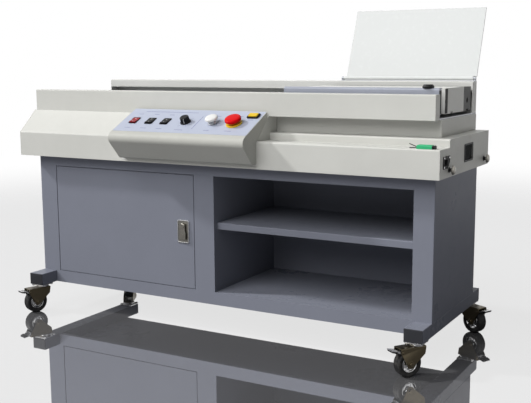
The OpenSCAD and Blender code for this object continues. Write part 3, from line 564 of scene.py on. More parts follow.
def finished(name, bm, node, material, replaces=True, place=None):
    """Makes a piece that rides with a CAD node, smooth up to the crease angle, in its place in the model."""
    put(bm, TO_MODEL @ place if place else TO_MODEL)
    for face in bm.faces:
        face.smooth = True
    for edge in bm.edges:
        edge.smooth = len(edge.link_faces) == 2 and edge.calc_face_angle(0) < CREASE
    piece = shown(name, meshed(name, bm))
    piece.data.materials.append(finish_named(material))
    piece.modifiers.new("weighted normals", "WEIGHTED_NORMAL").keep_sharp = True
    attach(piece, body_of(node))
    slot_of(node)
    if replaces:
        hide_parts(node)
    return piece


def refine(node, material, width, folds=(), fold=4.0, segments=2, angle=30):
    """The CAD node again under its own finish: its folds rounded first, then its other edges."""
    bm = copied(node)
    for axis, *spots in folds:
        fold_edges(bm, fold, axis, *spots)
    round_edges(bm, width, segments, angle)
    return finished(node + "_skin", bm, node, material)


MAKERS = {
    "cover": lambda c: painted("cover_paint", c.cover, 0.4, 1.16),
    "cabinet": lambda c: painted("cabinet_paint", c.cabinet, 0.3, 1.1, clouds=4),
    # Control box: a darker copy of the cover paint, as painted shade
    "box": lambda c: painted("control_box_shaded_paint", c.box, 0.4, 1.16),
    "board": lambda c: moulded("board_plastic", c.board, 0.5, depth=0.000005, ior=1.25),
    "block": lambda c: painted("block_paint", c.block, 0.4, 1.16),
    "jaw": lambda c: painted("jaw_finish", c.jaw, 0.3, 1.4, 1600, 0.00002),
    "carriage": lambda c: painted("carriage_paint", c.carriage, 0.44, 1.15),
    "steel": lambda c: brushed("ground_steel", c.steel),
    "zinc": lambda c: plated("bright_metal", c.zinc),
    "nickel": lambda c: plated("satin_nickel", c.nickel, 0.26),
    "chrome": lambda c: plated("dark_chrome", c.chrome, 0.34),
    "black": lambda c: moulded("black_plastic", c.black, 0.42, ior=1.22),
    "tyre": lambda c: rubber("tyre_rubber", c.tyre),
    # Dark sheets that stand in for the shade at the clamp's ends
    "shade_sheet": lambda c: rubber("clamp_painted_shade", c.tyre),
    "cap": lambda c: moulded("cap_plastic", c.cap, 0.42, ior=1.15),
    "lamp_red": lambda c: moulded("dark_red_plastic", c.lamp_red, 0.2, depth=0.00001, ior=1.25),
    "red": lambda c: moulded("red_plastic", c.red, 0.24, depth=0.00001, ior=1.14),
    "yellow": lambda c: moulded("yellow_plastic", c.yellow, 0.3, depth=0.00001, ior=1.3),
    "green": lambda c: moulded("green_plastic", c.green, 0.34, ior=1.3),
    "white": lambda c: moulded("white_plastic", c.white, 0.3, depth=0.00001, ior=1.3),
    "motor": lambda c: painted("motor_paint", c.motor, 0.4),
    "bronze": lambda c: brushed("roller_bronze", c.bronze, "Y", 0.28),
    "panel": lambda c: moulded("control_face", c.panel, 0.42, depth=0.00001, ior=1.3),
    "print": lambda c: moulded("panel_print", c.print, 0.5, depth=0.00001),
    "glass": lambda c: moulded("window_pane", c.glass, 0.12, 300, 0.00001),
}
FINISHES = {}


def finish_named(name):
    """The machine's materials, each made once."""
    if name not in FINISHES:
        FINISHES[name] = MAKERS[name](bpy.context.scene.binder_finish)
    return FINISHES[name]


# ---------- Operators ----------


class BinderOperator(Operator):
    """Base of the machine's operators"""

    bl_options = {"REGISTER", "UNDO"}

    def execute(self, context):
        self.size = context.scene.binder_finish
        self.edge = self.size.edge / MM
        self.fold = self.size.fold / MM
        self.build()
        return {"FINISHED"}


class BINDER_OT_cabinet(BinderOperator):
    """Dress the cabinet: its frame, sheets, shelf and foot rails"""

    bl_idname = "binder.cabinet"
    bl_label = "Cabinet"

    def build(self):
        self.rails()
        low, high = span("front_frame")
        refine("front_frame", "cabinet", self.edge, [(2, (low.x, low.y), (high.x, low.y))], 2)
        for node in ("cabinet_sides", "cabinet_back", "cabinet_divider", "cabinet_floor"):
            refine(node, "cabinet", self.edge)
        low, high = span("bay_shelf")
        refine("bay_shelf", "cabinet", self.edge, [(0, (low.y, high.z))], 2.5)

    def rails(self):
        low, high = span("foot_rails")
        tubes, caps = bmesh.new(), bmesh.new()
        for x in (low.x, high.x - RAIL_WIDTH):
            far = x + RAIL_WIDTH
            tube = slab((x, low.y + 3, low.z), (far, high.y - 3, high.z))
            bevelled(tube, [e for e in tube.edges if abs(e.verts[0].co.y - e.verts[1].co.y) > 1], 2, 4)
            join(tubes, tube)
            for a, b, inner in ((low.y, low.y + 3, low.y + 3.4), (high.y - 3, high.y, high.y - 3.4)):
                join(caps, slab((x + 0.4, a, low.z + 0.4), (far - 0.4, b, high.z - 0.4), 1.3, 3))
                join(caps, slab((x + 2, min(inner, a), low.z + 2), (far - 2, max(inner, b), high.z - 2), 0.2))
        finished("foot_rail_tubes", tubes, "foot_rails", "cabinet")
        finished("foot_rail_caps", caps, "foot_rails", "cap", False)


class BINDER_OT_door(BinderOperator):
    """Build the cabinet door with its paddle handle"""

    bl_idname = "binder.door"
    bl_label = "Door and handle"

    def build(self):
        low, high = span("cabinet_door")
        refine(
            "cabinet_door", "cabinet", 0.4,
            [(2, (low.x, low.y), (high.x, low.y)), (0, (low.y, low.z), (low.y, high.z))], 1.4,
        )
        self.dish()
        self.paddle()

    def dish(self):
        low, high = span("door_handle_dish")
        (x, _, z), (wide, _, tall) = middle("door_handle_dish"), high - low
        rim = pierced(rounded_box(wide, tall, 5), [rounded_box(wide - 7, tall - 7, 3)], 0, 3, 0.7)
        pan = pierced(rounded_box(wide - 6, tall - 6, 3), [ring(5.2, 0, 18)], 0, 1)
        standing = moved(x, high.y, z) @ turn(90, "X")
        finished("door_handle_rim", rim, "door_handle_dish", "zinc", place=standing)
        finished("door_handle_pan", pan, "door_handle_dish", "nickel", False, place=standing)

    def paddle(self):
        low, high = span("door_handle")
        x, pivot = middle("door_handle")[0], span("door_handle_dish")[0].z + 55
        head = [(9 * math.cos(a), 9 * math.sin(a)) for a in (math.pi * n / 14 for n in range(15))]
        left = [(-9, -12), (-11.5, -22), (-11.5, -42), (-8.5, -45)]
        blade = prism(head + left + [(-a, b) for a, b in reversed(left)], 0, 5.5, 1.6, 4)
        join(blade, turned([(0, 5), (7.4, 5), (7.4, 6.4), (6.8, 7), (2.6, 7), (2.2, 6.2), (0, 6.2)], 40))
        join(blade, slab((-4, -40, 5.2), (4, -26, 6.1), 0.4))
        join(blade, turned([(0, -16.3), (5, -16.3), (5, 0.4), (0, 0.4)], 28))
        standing = moved(x, low.y + 7, pivot) @ turn(90, "X")
        finished("door_handle_paddle", blade, "door_handle", "nickel", place=standing)
        tongue = slab((x - 8, high.y - 3, pivot - 8), (x + 8, high.y, high.z), self.edge)
        join(tongue, bolt(13, 4), place=moved(x, high.y, pivot) @ turn(-90, "X"))
        finished("door_handle_tongue", tongue, "door_handle", "steel", False)


class BINDER_OT_casters(BinderOperator):
    """Build the four braked casters"""

    bl_idname = "binder.casters"
    bl_label = "Casters"

    def build(self):
        plates, races = bmesh.new(), bmesh.new()
        for x, y, trail in CASTERS.values():
            plate = prism(rounded_box(53, 56, 6), 93, 96, 0.5)
            for i, j in ((-1, -1), (-1, 1), (1, -1), (1, 1)):
                join(plate, bolt(8, 3.6), place=moved(i * 20.5, j * 22, 93.2) @ turn(180, "X"))
            join(plates, plate, place=moved(x, y))
            join(races, self.race(), place=moved(x, y) @ turn(trail, "Z"))
        finished("caster_plates_skin", plates, "caster_plates", "zinc")
        finished("caster_races", races, "caster_plates", "zinc", False)
        for corner, (x, y, trail) in CASTERS.items():
            place = moved(x, y) @ turn(trail, "Z")
            self.fork(corner, place)
            self.wheel(corner, place)
            self.pedal(corner, place)

    def race(self):
        """The cup of the swivel bearing, and the nut of its kingpin under the fork."""
        made = turned([
            (0, 93.2), (21, 93.2), (21, 91), (19.6, 90.2), (19.2, 89.4), (19.6, 88.6), (20.9, 88), (20.9, 86.4),
            (19.8, 85.4), (0, 85.4)])
        return join(made, bolt(10.2, 3.4), place=moved(0, 0, 82.3) @ turn(180, "X"))

    def fork(self, corner, place):
        name = "caster_fork_" + corner
        bm = copied(name)
        put(bm, place.inverted())
        fold_edges(bm, 2.6, 0, (-19, 85), (19, 85))
        round_edges(bm, 0.45, 2, 32)
        for side in (-1, 1):
            facing = moved(AXLE_X, side * 19, AXLE_Z) @ turn(-90 * side, "X")
            join(bm, turned([(0, 0), (9.5, 0), (9.5, 0.8), (8.9, 1.2), (0, 1.2)], 36), place=facing)
            join(bm, bolt(11, 3.4), place=facing @ moved(0, 0, 1))
            join(bm, turned([(0, 0), (4, 0), (3.6, 1.1), (2.4, 1.7), (0, 1.9)], 20),
                 place=moved(PIVOT_X, side * 18.8, PIVOT_Z) @ turn(-90 * side, "X"))
        finished(name + "_skin", bm, name, "chrome", place=place)

    def wheel(self, corner, place):
        name = "caster_wheel_" + corner
        standing = place @ moved(AXLE_X, 0, AXLE_Z) @ turn(90, "X")
        side = [(23.2, 12.4), (24.6, 13.4), (26.2, 13.1), (27.4, 13.6), (31, 14.3), (33.4, 14.6), (35, 14.2),
                (36.4, 12.8), (37.1, 10.6), (37.4, 7)]
        tread = [(37.4, 5.6), (36.9, 5.2), (36.9, 4.4), (37.5, 4)]
        finished(name + "_tyre", turned(mirrored(side + tread), 72, True), name, "tyre", place=standing)
        hub = turned(mirrored([
            (4.2, 13.8), (8, 13.8), (9, 13), (9, 11.2), (10, 10.2), (17.6, 8.6), (19.4, 9.4), (21.4, 12.2),
            (22.4, 12.8), (23.3, 12.4)]), 60, True)
        for n in range(6):
            for face in (1, -1):
                rib = slab((8.4, -1.3, 8.2), (20.6, 1.3, 10.6), 0.5)
                join(hub, rib, place=turn(60 * n, "Z") @ Matrix.Scale(face, 4, (0, 0, 1)))
        bmesh.ops.recalc_face_normals(hub, faces=hub.faces)
        finished(name + "_hub", hub, name, "zinc", False, place=standing)

    def pedal(self, corner, place):
        """A pressed steel lever, its edges turned down, over a black foot pad."""
        name = "brake_pedal_" + corner
        side = [(52, 76.4), (56, 77.4), (70, 79.6), (85, 82.4), (86.6, 82.2), (86.8, 81), (85.2, 80.4), (70, 77.8),
                (56, 75.4), (52.4, 74.6)]
        lever = prism(side, 0, 30)
        put(lever, moved(0, 15) @ turn(90, "X"))
        round_edges(lever, 0.4, 2, 40)
        for y in (-15, 13.6):
            flank = prism([(52, 76.2), (70, 79), (70, 75.4), (60, 70), (55, 69), (50.6, 71.4)], 0, 1.4)
            join(lever, flank, place=moved(0, y + 1.4) @ turn(90, "X"))
        join(lever, rod((PIVOT_X, -14.8, PIVOT_Z), (PIVOT_X, 14.8, PIVOT_Z), 4.2, 24, 0.5))
        for y in (-8, 0, 8):
            join(lever, slab((-6, -1.1, 0), (6, 1.1, 1.2), 0.5), place=moved(72, y, 79.7) @ turn(-10.6, "Y"))
        finished(name + "_lever", lever, name, "zinc", place=place)
        pad = prism([(72, 77.8), (85.6, 80.2), (86.4, 78), (84, 75.4), (80, 75.6), (78, 73.4), (73, 74.6)], 0, 26)
        put(pad, moved(0, 13) @ turn(90, "X"))
        round_edges(pad, 0.8, 3, 20)
        finished(name + "_pad", pad, name, "black", False, place=place)


class BINDER_OT_covers(BinderOperator):
    """Dress the lower cover, its side plates, the neck and the machine's base"""

    bl_idname = "binder.covers"
    bl_label = "Covers"

    def build(self):
        low, high = span("front_cover")
        refine("front_cover", "cover", 0.4, [(0, (low.y, LEDGE_TOP), STEP_EDGE)], self.fold)
        refine("side_plates", "cover", 0.5)
        low, high = span("rear_cover")
        refine("rear_cover", "cover", 0.5, [(0, (high.y, high.z))], self.fold)
        refine("machine_base", "steel", self.edge)
        low, high = span("neck_cover")
        refine("neck_cover", "cover", self.edge, [(2, (high.x, low.y), (low.x, high.y), (high.x, high.y))], 1.8)


class BINDER_OT_fittings(BinderOperator):
    """Build the side plate's inlet, window and knobs, and the ledge's side lay"""

    bl_idname = "binder.fittings"
    bl_label = "Side fittings"

    def build(self):
        self.inlet()
        self.window()
        self.knobs()
        self.lay()

    def inlet(self):
        bm = copied("power_inlet")
        round_edges(bm, 0.35, 2, 40)
        finished("power_inlet_skin", bm, "power_inlet", "tyre")
        low, high = span("power_inlet")
        screws = bmesh.new()
        for y, z in ((low.y + 4, high.z - 4), (low.y + 4, low.z + 4), (high.y - 4, high.z - 5)):
            head = turned([(0, 0), (3, 0), (2.7, 0.7), (1.6, 1), (1.2, 0.6), (0, 0.6)], 24)
            join(screws, head, place=moved(high.x - 0.4, y, z) @ turn(90, "Y"))
        finished("power_inlet_screws", screws, "power_inlet", "zinc", False)

    def window(self):
        low, high = span("side_window")
        (_, y, z), (_, wide, tall) = middle("side_window"), high - low
        facing = moved(high.x - 1.5, y, z) @ turn(90, "Y") @ turn(90, "Z")
        opening = rounded_box(wide - 9, tall - 9, 1.5)
        grille = pierced(rounded_box(wide, tall, 3), [opening], 0, 1.5, 0.5)
        for n in range(-4, 5):
            join(grille, slab((n * 7.6 - 0.8, -tall / 2 + 4.8, -0.9), (n * 7.6 + 0.8, tall / 2 - 4.8, 0.5), 0.25))
        finished("side_window_frame", grille, "side_window", "black", place=facing)
        pane = prism(opening, -1.9, -0.9, 0.1)
        finished("side_window_pane", pane, "side_window", "glass", False, place=facing)

    def knobs(self):
        knobs, stems = bmesh.new(), bmesh.new()
        crown = [(0, 9.1), (10.4, 9.1), (12, 9.8), (12, 13.2), (10.8, 15.4), (8, 16.6), (3.4, 17), (0, 17)]
        stem = [(0, -8), (3.8, -8), (3.8, 0), (7.6, 0), (7.6, 1.4), (5, 2), (5, 9.3), (0, 9.3)]
        for y in (-158, 170):
            out = moved(746, y, 560) @ turn(90, "Y")
            head = prism(ring([12.5, 12.1], count=72), 9.6, 13.4)
            join(head, turned(crown))
            join(knobs, head, place=out)
            join(stems, turned(stem, 32), place=out)
        finished("side_knob_heads", knobs, "side_knobs", "nickel")
        finished("side_knob_stems", stems, "side_knobs", "black", False)

    def lay(self):
        """The side lay on the ledge: a ribbed grip, its tip with a foot in the ledge, and two wires."""
        right = span("side_lay")[1].x
        left, y, top = right - 50, -214, 620.3
        grip = slab((left, y - 11, top), (right - 7, y + 11, top + 10.7))
        bevelled(grip, edges_above(grip, top + 1), 4.2, 4)
        for n in range(6):
            x = left + 9 + n * 5.4
            join(grip, slab((x, y - 11.2, top + 1), (x + 1.4, y + 11.2, top + 8), 0.5))
        finished("side_lay_grip", grip, "side_lay", "green")
        tip = slab((right - 7.4, y - 9.6, top), (right, y + 9.6, top + 9.2))
        bevelled(tip, edges_above(tip, top + 1), 3.4, 4)
        join(tip, slab((left + 10, y - 1.2, 614), (left + 26, y + 1.2, top + 1), 0.3))
        finished("side_lay_tip", tip, "side_lay", "black", False)
        wires = rod((left + 2, y, top + 3), (left - 24, y + 1, top + 12.4), 1.1, 12, 0.2)
        join(wires, rod((left + 2, y + 3, top + 2.4), (left - 24.4, y + 4, top + 1.4), 1.1, 12, 0.2))
        finished("side_lay_wires", wires, "side_lay", "black", False)


class BINDER_OT_bench(BinderOperator):
    """Dress the bench: its floor, beam, rear wall and rails, and the book board"""

    bl_idname = "binder.bench"
    bl_label = "Bench and board"

    def build(self):
        refine("bench_floor", "steel", 0.5)
        low, high = span("front_beam")
        refine(
            "front_beam", "cover", 0.6,
            [(0, (low.y, high.z), (high.y, high.z)), (2, (low.x, low.y), (high.x, low.y))], self.fold * 0.8,
        )
        low, high = span("rear_wall")
        refine("rear_wall", "block", 0.5, [(0, (low.y, high.z), (high.y, high.z))], self.fold * 0.7)
        refine("guide_rails", "steel", 0.8)
        self.board()

    def board(self):
        hinge = copied("board_hinge")
        for vert in hinge.verts:
            # The pin, a little thinner than the bore that turns on it
            out = Vector((0, vert.co.y - BOARD_PIN_Y, vert.co.z - BOARD_PIN_Z))
            if out.length < PIN_REACH:
                vert.co -= out * 0.05
        round_edges(hinge, 0.5)
        finished("board_hinge_skin", hinge, "board_hinge", "steel")
        bm = copied("book_board")
        round_edges(bm, 1.1, 3, 40)
        finished("book_board_skin", bm, "book_board", "board")


class BINDER_OT_carriage(BinderOperator):
    """Build the carriage with its clamp, its drive screw and motor"""

    bl_idname = "binder.carriage"
    bl_label = "Carriage"

    def build(self):
        refine("carriage", "carriage", 1.2, segments=3)
        refine("clamp_block", "block", 1.2, segments=3)
        low, high = span("clamp_block")
        # Dark sheets of painted shade on both ends of the block, where the gap beside the jaw lies in shade
        shade_sheet = bmesh.new()
        for x in (low.x - 0.2, high.x - 1):
            join(shade_sheet, slab((x, low.y - 0.2, low.z + 1.5), (x + 1.2, low.y + 20, high.z - 1.5)))
        finished("clamp_block_shade_sheet", shade_sheet, "clamp_block", "shade_sheet", False)
        low, high = span("clamp_jaw")
        refine("clamp_jaw", "jaw", 1.0, [(0, (low.y, high.z))], 7, segments=3)
        # A dark sheet of painted shade over the jaw's end face
        shade_sheet = slab((high.x - 3, low.y + 0.8, low.z + 1.5), (high.x + 0.2, low.y + 19.2, high.z - 7))
        finished("clamp_jaw_shade_sheet", shade_sheet, "clamp_jaw", "shade_sheet", False)
        self.knob()
        self.motor()
        self.screw()

    def knob(self):
        x, y, _ = middle("clamp_knob")
        knob = turned([
            (0, 0), (16, 0), (16.5, 0.5), (16.5, 2.6), (16, 3.2), (13.8, 7.6), (13, 8.6), (12, 9), (9.6, 9),
            (9.2, 8.6), (0, 8.6)], 64)
        for n in range(18):
            join(knob, slab((14.4, -1, 0.6), (16.4, 1, 3.6), 0.4), place=turn(20 * n, "Z"))
        finished("clamp_knob_cap", knob, "clamp_knob", "black", place=moved(x, y, span("clamp_knob")[0].z))

    def motor(self):
        low, high = span("drive_motor")
        body = slab((low.x + 6, low.y + 2, low.z), (low.x + 58, high.y - 2, high.z - 1), 5, 4)
        for n in range(9):
            x = low.x + 12 + n * 4.6
            join(body, slab((x, low.y, low.z + 4), (x + 1.8, high.y, high.z), 0.6))
        join(body, slab((low.x, low.y + 1, low.z), (low.x + 7, high.y - 1, high.z - 1), 2.4, 3))
        join(body, slab((low.x + 57, low.y, low.z), (low.x + 66, high.y, high.z), 2.4, 3))
        finished("drive_motor_body", body, "drive_motor", "motor")
        out = moved(low.x + 66, middle("drive_motor")[1], SCREW_Z) @ turn(90, "Y")
        coupling = turned([
            (0, -1), (11.6, -1), (12, 0), (12, 3), (10.6, 3.4), (10.6, 4.6), (12, 5), (12, 7.6), (11.4, 8),
            (0, 8)], 40)
        finished("drive_coupling", coupling, "drive_motor", "steel", False, place=out)

    def screw(self):
        """A lead screw with four starts, which moves the carriage 43 mm in a turn."""
        low, high = span("drive_screw")
        lead, steps = 43, 16
        run = high.x - low.x - 24
        turns = run / lead
        bm = bmesh.new()
        points = [bm.verts.new((0, y, z)) for y, z in ring([6.6, 6.6, 7.7, 7.95, 7.95, 7.7], count=24)]
        count = round(turns * steps)
        bmesh.ops.spin(
            bm, geom=points + strung(bm, points), cent=(0, 0, 0), axis=(1, 0, 0), angle=-math.tau * turns,
            steps=count, dvec=(run / count, 0, 0),
        )
        bmesh.ops.remove_doubles(bm, verts=bm.verts, dist=1e-4)
        bmesh.ops.holes_fill(bm, edges=[e for e in bm.edges if e.is_boundary], sides=0)
        bmesh.ops.recalc_face_normals(bm, faces=bm.faces)
        for x in (-12, run - 0.2):
            join(bm, rod((x, 0, 0), (x + 12.2, 0, 0), 6, 32, 0.6))
        place = moved(low.x + 12, *middle("drive_screw")[1:])
        finished("drive_screw_thread", bm, "drive_screw", "steel", place=place)


class BINDER_OT_stations(BinderOperator):
    """Build the stations under the clamp: cutter, glue tank, rollers and nipping jaws"""

    bl_idname = "binder.stations"
    bl_label = "Stations"

    def build(self):
        self.mill()
        self.cutter()
        refine("glue_tank", "steel", 0.6)
        for side in ("left", "right"):
            self.roller("glue_roller_" + side)
        for node in ("nip_jaw_front", "nip_jaw_rear"):
            refine(node, "steel", 0.9)

    def mill(self):
        """The milling motor: a ribbed body and an end bell below its flange, and its shaft."""
        low, high = span("milling_motor")
        x, y, under = 130, -84, 686
        body = prism(ring([48, 48, 45.6, 45.6], count=112), under - 96, under - 10)
        join(body, turned([(0, under), (46, under), (47, under - 1), (47, under - 10.2), (0, under - 10.2)], 64))
        join(body, turned([
            (0, under - 95.8), (47.4, under - 95.8), (47.4, under - 102), (44, under - 110), (40, under - 112.6),
            (12, under - 112.6), (11, under - 111), (0, under - 111)], 64))
        join(body, slab((low.x - x, low.y - y, under), (high.x - x, -34, 691), 0.6))
        finished("milling_motor_body", body, "milling_motor", "motor", place=moved(x, y))
        shaft = turned([(0, 690.5), (7, 690.5), (7, high.z - 0.6), (6.4, high.z), (0, high.z)], 32)
        finished("milling_motor_shaft", shaft, "milling_motor", "steel", False, place=moved(x, y))

    def cutter(self):
        """A face cutter: a dished disc with twelve carbide teeth and a small round head by each tooth."""
        x, y, _ = middle("milling_cutter")
        disc = turned([(7.1, 0), (34, 0), (34, 3.4), (31, 4.4), (14, 4.4), (13, 5), (7.1, 5)], 72, True)
        for n in range(12):
            join(disc, slab((29, -4.6, 0.4), (38, -0.4, 4.8), 0.4), place=turn(30 * n, "Z"))
            join(disc, rod((33, 3.4, 3.2), (33, 3.4, 4.6), 1.5, 12, 0.2), place=turn(30 * n, "Z"))
        place = moved(x, y, span("milling_cutter")[0].z)
        finished("milling_cutter_disc", disc, "milling_cutter", "steel", place=place)

    def roller(self, node):
        low, high = span(node)
        x, _, z = middle(node)
        r = (high.x - low.x) / 2
        drum = [(0, 0), (5, 0), (5, 4), (r - 0.6, 4), (r, 4.6)]
        groove = [(r, 14), (r - 1, 15), (r - 1, 17), (r, 18)]
        bm = turned(mirrored(drum + groove, high.y - low.y), 56)
        finished(node + "_drum", bm, node, "bronze", place=moved(x, high.y, z) @ turn(90, "X"))


class BINDER_OT_controls(BinderOperator):
    """Build the control box with its face, switches, knob and buttons"""

    bl_idname = "binder.controls"
    bl_label = "Controls"

    def build(self):
        left, right = (corner.x for corner in span("control_box"))
        self.at = {name: left + x for name, x in (
            ("red", 47), ("mill", 108), ("feed", 166), ("heat", 241), ("start", 339), ("stop", 414), ("reset", 458))}
        # The box takes the darker copy of the cover paint, which paints its shade
        refine("control_box", "box", 1.4, segments=4)
        self.face(left, right)
        self.marks()
        for node, name, material in (
            ("mains_rocker", "red", "lamp_red"), ("mill_rocker", "mill", "black"), ("feed_rocker", "feed", "black"),
        ):
            self.rocker(node, self.at[name], material)
        self.dial()
        self.buttons()

    def face(self, left, right):
        """The lavender sheet on the panel, pierced for the controls."""
        mid, low, high = (left + right) / 2, 10.0, 147.6
        holes = [rounded_box(24.4, 32.4, 1, self.at[n] - mid, ROW) for n in ("red", "mill", "feed")]
        holes += [ring(r, self.at[n] - mid, ROW) for n, r in (("heat", 4), ("start", 9), ("stop", 9))]
        holes.append(ring(7, self.at["reset"] - mid, UPPER_ROW))
        sheet = pierced(rounded_box(right - left - 4, high - low, 3, 0, (low + high) / 2), holes, 0, 0.4)
        finished("control_face", sheet, "control_box", "panel", False, place=on_panel(mid, 0))

    def marks(self):
        """Printed marks: a rule over and under each control, the dial's ticks and figures, and a divider."""
        marks = bmesh.new()

        def rule(x, s, wide, tall=1.4):
            join(marks, prism(rounded_box(wide, tall, min(wide, tall) / 2.2), 0.3, 0.5), place=on_panel(x, s))

        for name, wide in (("red", 22), ("mill", 22), ("feed", 22), ("start", 20), ("stop", 24)):
            rule(self.at[name], 31, wide)
            rule(self.at[name], 114 if name != "stop" else 117, wide * 0.8)
        rule(self.at["heat"], 28, 30)
        rule(self.at["reset"], 98, 18)
        rule(self.at["feed"] - 10, 131, 200, 1.2)
        rule((self.at["heat"] + self.at["start"]) / 2 - 6, ROW, 1.4, 74)
        for n in range(11):
            angle, numbered = 240 - 30 * n, n % 2 == 0
            tick = prism(rounded_box(3.6 if numbered else 2.4, 0.9, 0.3), 0.3, 0.5)
            join(marks, tick, place=on_panel(self.at["heat"]) @ turn(angle, "Z") @ moved(21))
            if numbered:
                way = math.radians(angle)
                x, s = self.at["heat"] + 27 * math.cos(way), ROW + 27 * math.sin(way)
                join(marks, figure(str(n // 2), 5, 0.2), place=on_panel(x, s, 0.3))
        finished("control_marks", marks, "control_box", "print", False)

    def rocker(self, node, x, material):
        """A switch in its bezel, with the usual line and circle on it."""
        refine(node, material, 0.7, segments=3, angle=12)
        bezel = pierced(rounded_box(28, 36, 2.6), [rounded_box(23.9, 31.4, 0.8)], 0.3, 2.2, 0.6)
        finished(node + "_bezel", bezel, "control_box", "black", False, place=on_panel(x))
        signs = slab((-0.5, -2.4, 0), (0.5, 2.4, 0.25))
        put(signs, moved(0, -8.4, 4.62) @ turn(-11.3, "X"))
        circle = pierced(ring(2.3, count=28), [ring(1.5, count=28)], 0, 0.25)
        join(signs, circle, place=moved(0, 8.4, 2.72) @ turn(-1.5, "X"))
        finished(node + "_signs", signs, node, "white", False, place=on_panel(x))

    def dial(self):
        """The heat knob: a skirt, a fluted grip and a pointer with a white line."""
        knob = turned([(0, 0.6), (16.6, 0.6), (17, 1), (17, 2.2), (15.6, 4.3), (0, 4.3)], 56)
        join(knob, prism(ring([14, 14, 13.1], count=3 * self.size.flutes), 4, 18.6, 0.4, 1, 40))
        join(knob, turned([(0, 18), (13, 18), (13, 19), (12.2, 19.8), (9, 20), (8.6, 19.5), (0, 19.5)], 56))
        join(knob, slab((9, -2.5, 3.4), (16.5, 2.5, 18), 0.9, 3))
        join(knob, rod((0, 0, -6), (0, 0, 1), 3, 20))
        place = on_panel(self.at["heat"]) @ turn(-70, "Z")
        finished("heat_knob_grip", knob, "heat_knob", "black", place=place)
        line = slab((9.6, -0.6, 17.9), (16.2, 0.6, 18.2), 0.1)
        join(line, slab((16.45, -0.6, 5), (16.6, 0.6, 17.4)))
        finished("heat_knob_line", line, "heat_knob", "white", False, place=place)

    def buttons(self):
        def mushroom(r, low, high):
            return turned([
                (0, -6), (7.9, -6), (7.9, low), (r - 3.4, low), (r - 1.2, low + 0.6), (r, low + 2.2), (r, high - 4.6),
                (r - 0.9, high - 2.6), (r - 2.6, high - 1.3), (r - 6, high - 0.4), (r * 0.5, high), (0, high)], 72)

        place = on_panel(self.at["start"])
        finished("start_button_head", mushroom(20, 13, 23), "start_button", "white", place=place)
        sleeve = turned([(8.2, 0.3), (15, 0.3), (15, 3.4), (13.8, 4.4), (12.4, 9.2), (8.2, 9.6)], 48, True)
        finished("start_button_sleeve", sleeve, "control_box", "steel", False, place=place)
        place = on_panel(self.at["stop"])
        finished("stop_button_head", mushroom(25, 12, 23), "stop_button", "red", place=place)
        collar = turned([
            (8.2, 0.3), (24.4, 0.3), (25, 0.9), (25, 3.8), (24, 5), (13, 5), (12.4, 4.4), (8.2, 4.4)], 72, True)
        finished("stop_collar_ring", collar, "stop_collar", "yellow", place=place)
        cap = prism(rounded_box(29.4, 17.4, 2.4), 3.5, 8.5, 1, 3)
        join(cap, rod((0, 0, -6), (0, 0, 4), 6, 28))
        place = on_panel(self.at["reset"], UPPER_ROW)
        finished("reset_button_cap", cap, "reset_button", "yellow", place=place)
        base = pierced(rounded_box(37, 25, 3), [rounded_box(30.8, 18.8, 2.6)], 0.3, 5.4, 0.8)
        finished("reset_button_frame", base, "control_box", "black", False, place=place)


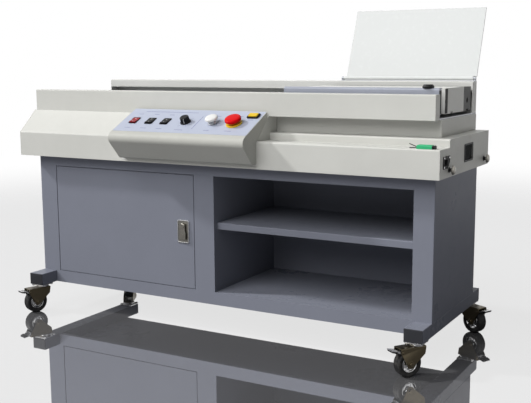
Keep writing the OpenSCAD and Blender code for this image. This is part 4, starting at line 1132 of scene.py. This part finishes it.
class BINDER_OT_stage(Operator):
    """Set the floor, the lights and the camera"""

    bl_idname = "binder.stage"
    bl_label = "Stage"

    def execute(self, context):
        stage = context.scene.binder_stage
        self.floor(stage)
        self.world(stage)
        self.lamps(stage)
        self.camera(stage)
        context.scene.view_settings.view_transform = "Standard"
        return {"FINISHED"}

    def floor(self, stage):
        bm = bmesh.new()
        bmesh.ops.create_circle(bm, cap_ends=True, radius=40, segments=96)
        floor = shown("floor", meshed("floor", bm))
        finish = Finish("pale_floor")
        far = finish.node(
            "VectorMath", {"operation": "LENGTH"}, {0: finish.place()}, "Value",
        ).eased(1.6, 6.0)
        matt = finish.node(
            "BsdfDiffuse", None, {"Color": finish.mix(far, tuple(stage.floor), (1.0, 1.0, 1.0))},
        )
        glow = finish.node("Emission", None, {"Color": (1, 1, 1, 1), "Strength": 1.0})
        gloss = finish.node("BsdfGlossy", None, {"Color": (1, 1, 1, 1), "Roughness": 0.02})
        base = finish.node("MixShader", None, {0: far, 1: matt, 2: glow})
        seen = finish.node("LightPath", output="Is Camera Ray")
        finish.ended(
            finish.node("MixShader", None, {0: stage.mirror * (1 - far) * seen, 1: base, 2: gloss})
        )
        floor.data.materials.append(finish.material)

    def world(self, stage):
        """White where it is seen, directly or in a reflection, and dimmer as a light."""
        world = bpy.context.scene.world or bpy.data.worlds.new("studio")
        bpy.context.scene.world = world
        world.use_nodes = True
        tree = world.node_tree
        tree.nodes.clear()

        def add(kind, **settings):
            made = tree.nodes.new("ShaderNode" + kind)
            for key, value in settings.items():
                setattr(made, key, value)
            return made

        ray = add("LightPath")
        shown = ray.outputs["Is Camera Ray"]
        for kind in ("Is Glossy Ray", "Is Transmission Ray"):
            either = add("Math", operation="MAXIMUM")
            tree.links.new(shown, either.inputs[0])
            tree.links.new(ray.outputs[kind], either.inputs[1])
            shown = either.outputs[0]
        both, out = add("MixShader"), add("OutputWorld")
        tree.links.new(shown, both.inputs[0])
        for socket, power in ((1, stage.sky), (2, 1.0)):
            light = add("Background")
            light.inputs["Color"].default_value = (1, 1, 1, 1)
            light.inputs["Strength"].default_value = power
            tree.links.new(light.outputs[0], both.inputs[socket])
        tree.links.new(both.outputs[0], out.inputs["Surface"])

    def lamps(self, stage):
        for name, power, spread, source in (
            ("key", stage.key, 5, (-0.745, -0.26, 0.612)), ("front", stage.fill, 50, (-0.15, -0.74, 0.655)),
        ):
            sun = bpy.data.lights.new(name, "SUN")
            sun.energy, sun.angle = power, math.radians(spread)
            shown(name, sun).rotation_euler = Vector(source).to_track_quat("Z", "Y").to_euler()

    def camera(self, stage):
        """The photograph's view. The angles, in radians, and the place were fitted to it."""
        lens = bpy.data.cameras.new("camera")
        lens.sensor_fit, lens.sensor_width, lens.lens = "HORIZONTAL", 36, stage.focal
        camera = shown("camera", lens)
        yaw, pitch, roll = 0.517015, 0.155726, -0.00603
        stand = Vector((1499.4, -2486.6, 853.2))
        ahead = Vector((-math.sin(yaw) * math.cos(pitch), math.cos(yaw) * math.cos(pitch), -math.sin(pitch)))
        right = Vector((math.cos(yaw), math.sin(yaw), 0))
        up = right.cross(ahead)
        right, up = (right * math.cos(roll) + up * math.sin(roll), up * math.cos(roll) - right * math.sin(roll))
        place = Matrix((right, up, -ahead)).transposed().to_4x4()
        place.translation = TO_MODEL @ stand
        camera.matrix_world = place
        bpy.context.scene.camera = camera


class BINDER_PT_panel(Panel):
    """Lists the operators that build the machine"""

    bl_idname = "BINDER_PT_panel"
    bl_label = "Perfect Binding Machine"
    bl_space_type = "VIEW_3D"
    bl_region_type = "UI"
    bl_category = "Binder"

    def draw(self, context):
        for operator in OPERATORS:
            self.layout.operator(operator.bl_idname)
        for group in ("binder_finish", "binder_stage"):
            settings = getattr(context.scene, group)
            box = self.layout.box()
            for name in settings.__annotations__:
                box.prop(settings, name)


OPERATORS = [
    BINDER_OT_stage, BINDER_OT_cabinet, BINDER_OT_door, BINDER_OT_casters, BINDER_OT_covers, BINDER_OT_fittings,
    BINDER_OT_bench, BINDER_OT_carriage, BINDER_OT_stations, BINDER_OT_controls,
]
CLASSES = [BinderFinish, BinderStage, *OPERATORS, BINDER_PT_panel]


def register():
    for one in CLASSES:
        bpy.utils.register_class(one)
    bpy.types.Scene.binder_finish = PointerProperty(type=BinderFinish)
    bpy.types.Scene.binder_stage = PointerProperty(type=BinderStage)


def unregister():
    del bpy.types.Scene.binder_stage
    del bpy.types.Scene.binder_finish
    for one in reversed(CLASSES):
        bpy.utils.unregister_class(one)


def main():
    register()
    for operator in OPERATORS:
        group, name = operator.bl_idname.split(".")
        getattr(getattr(bpy.ops, group), name)()


if __name__ == "__main__":
    main()
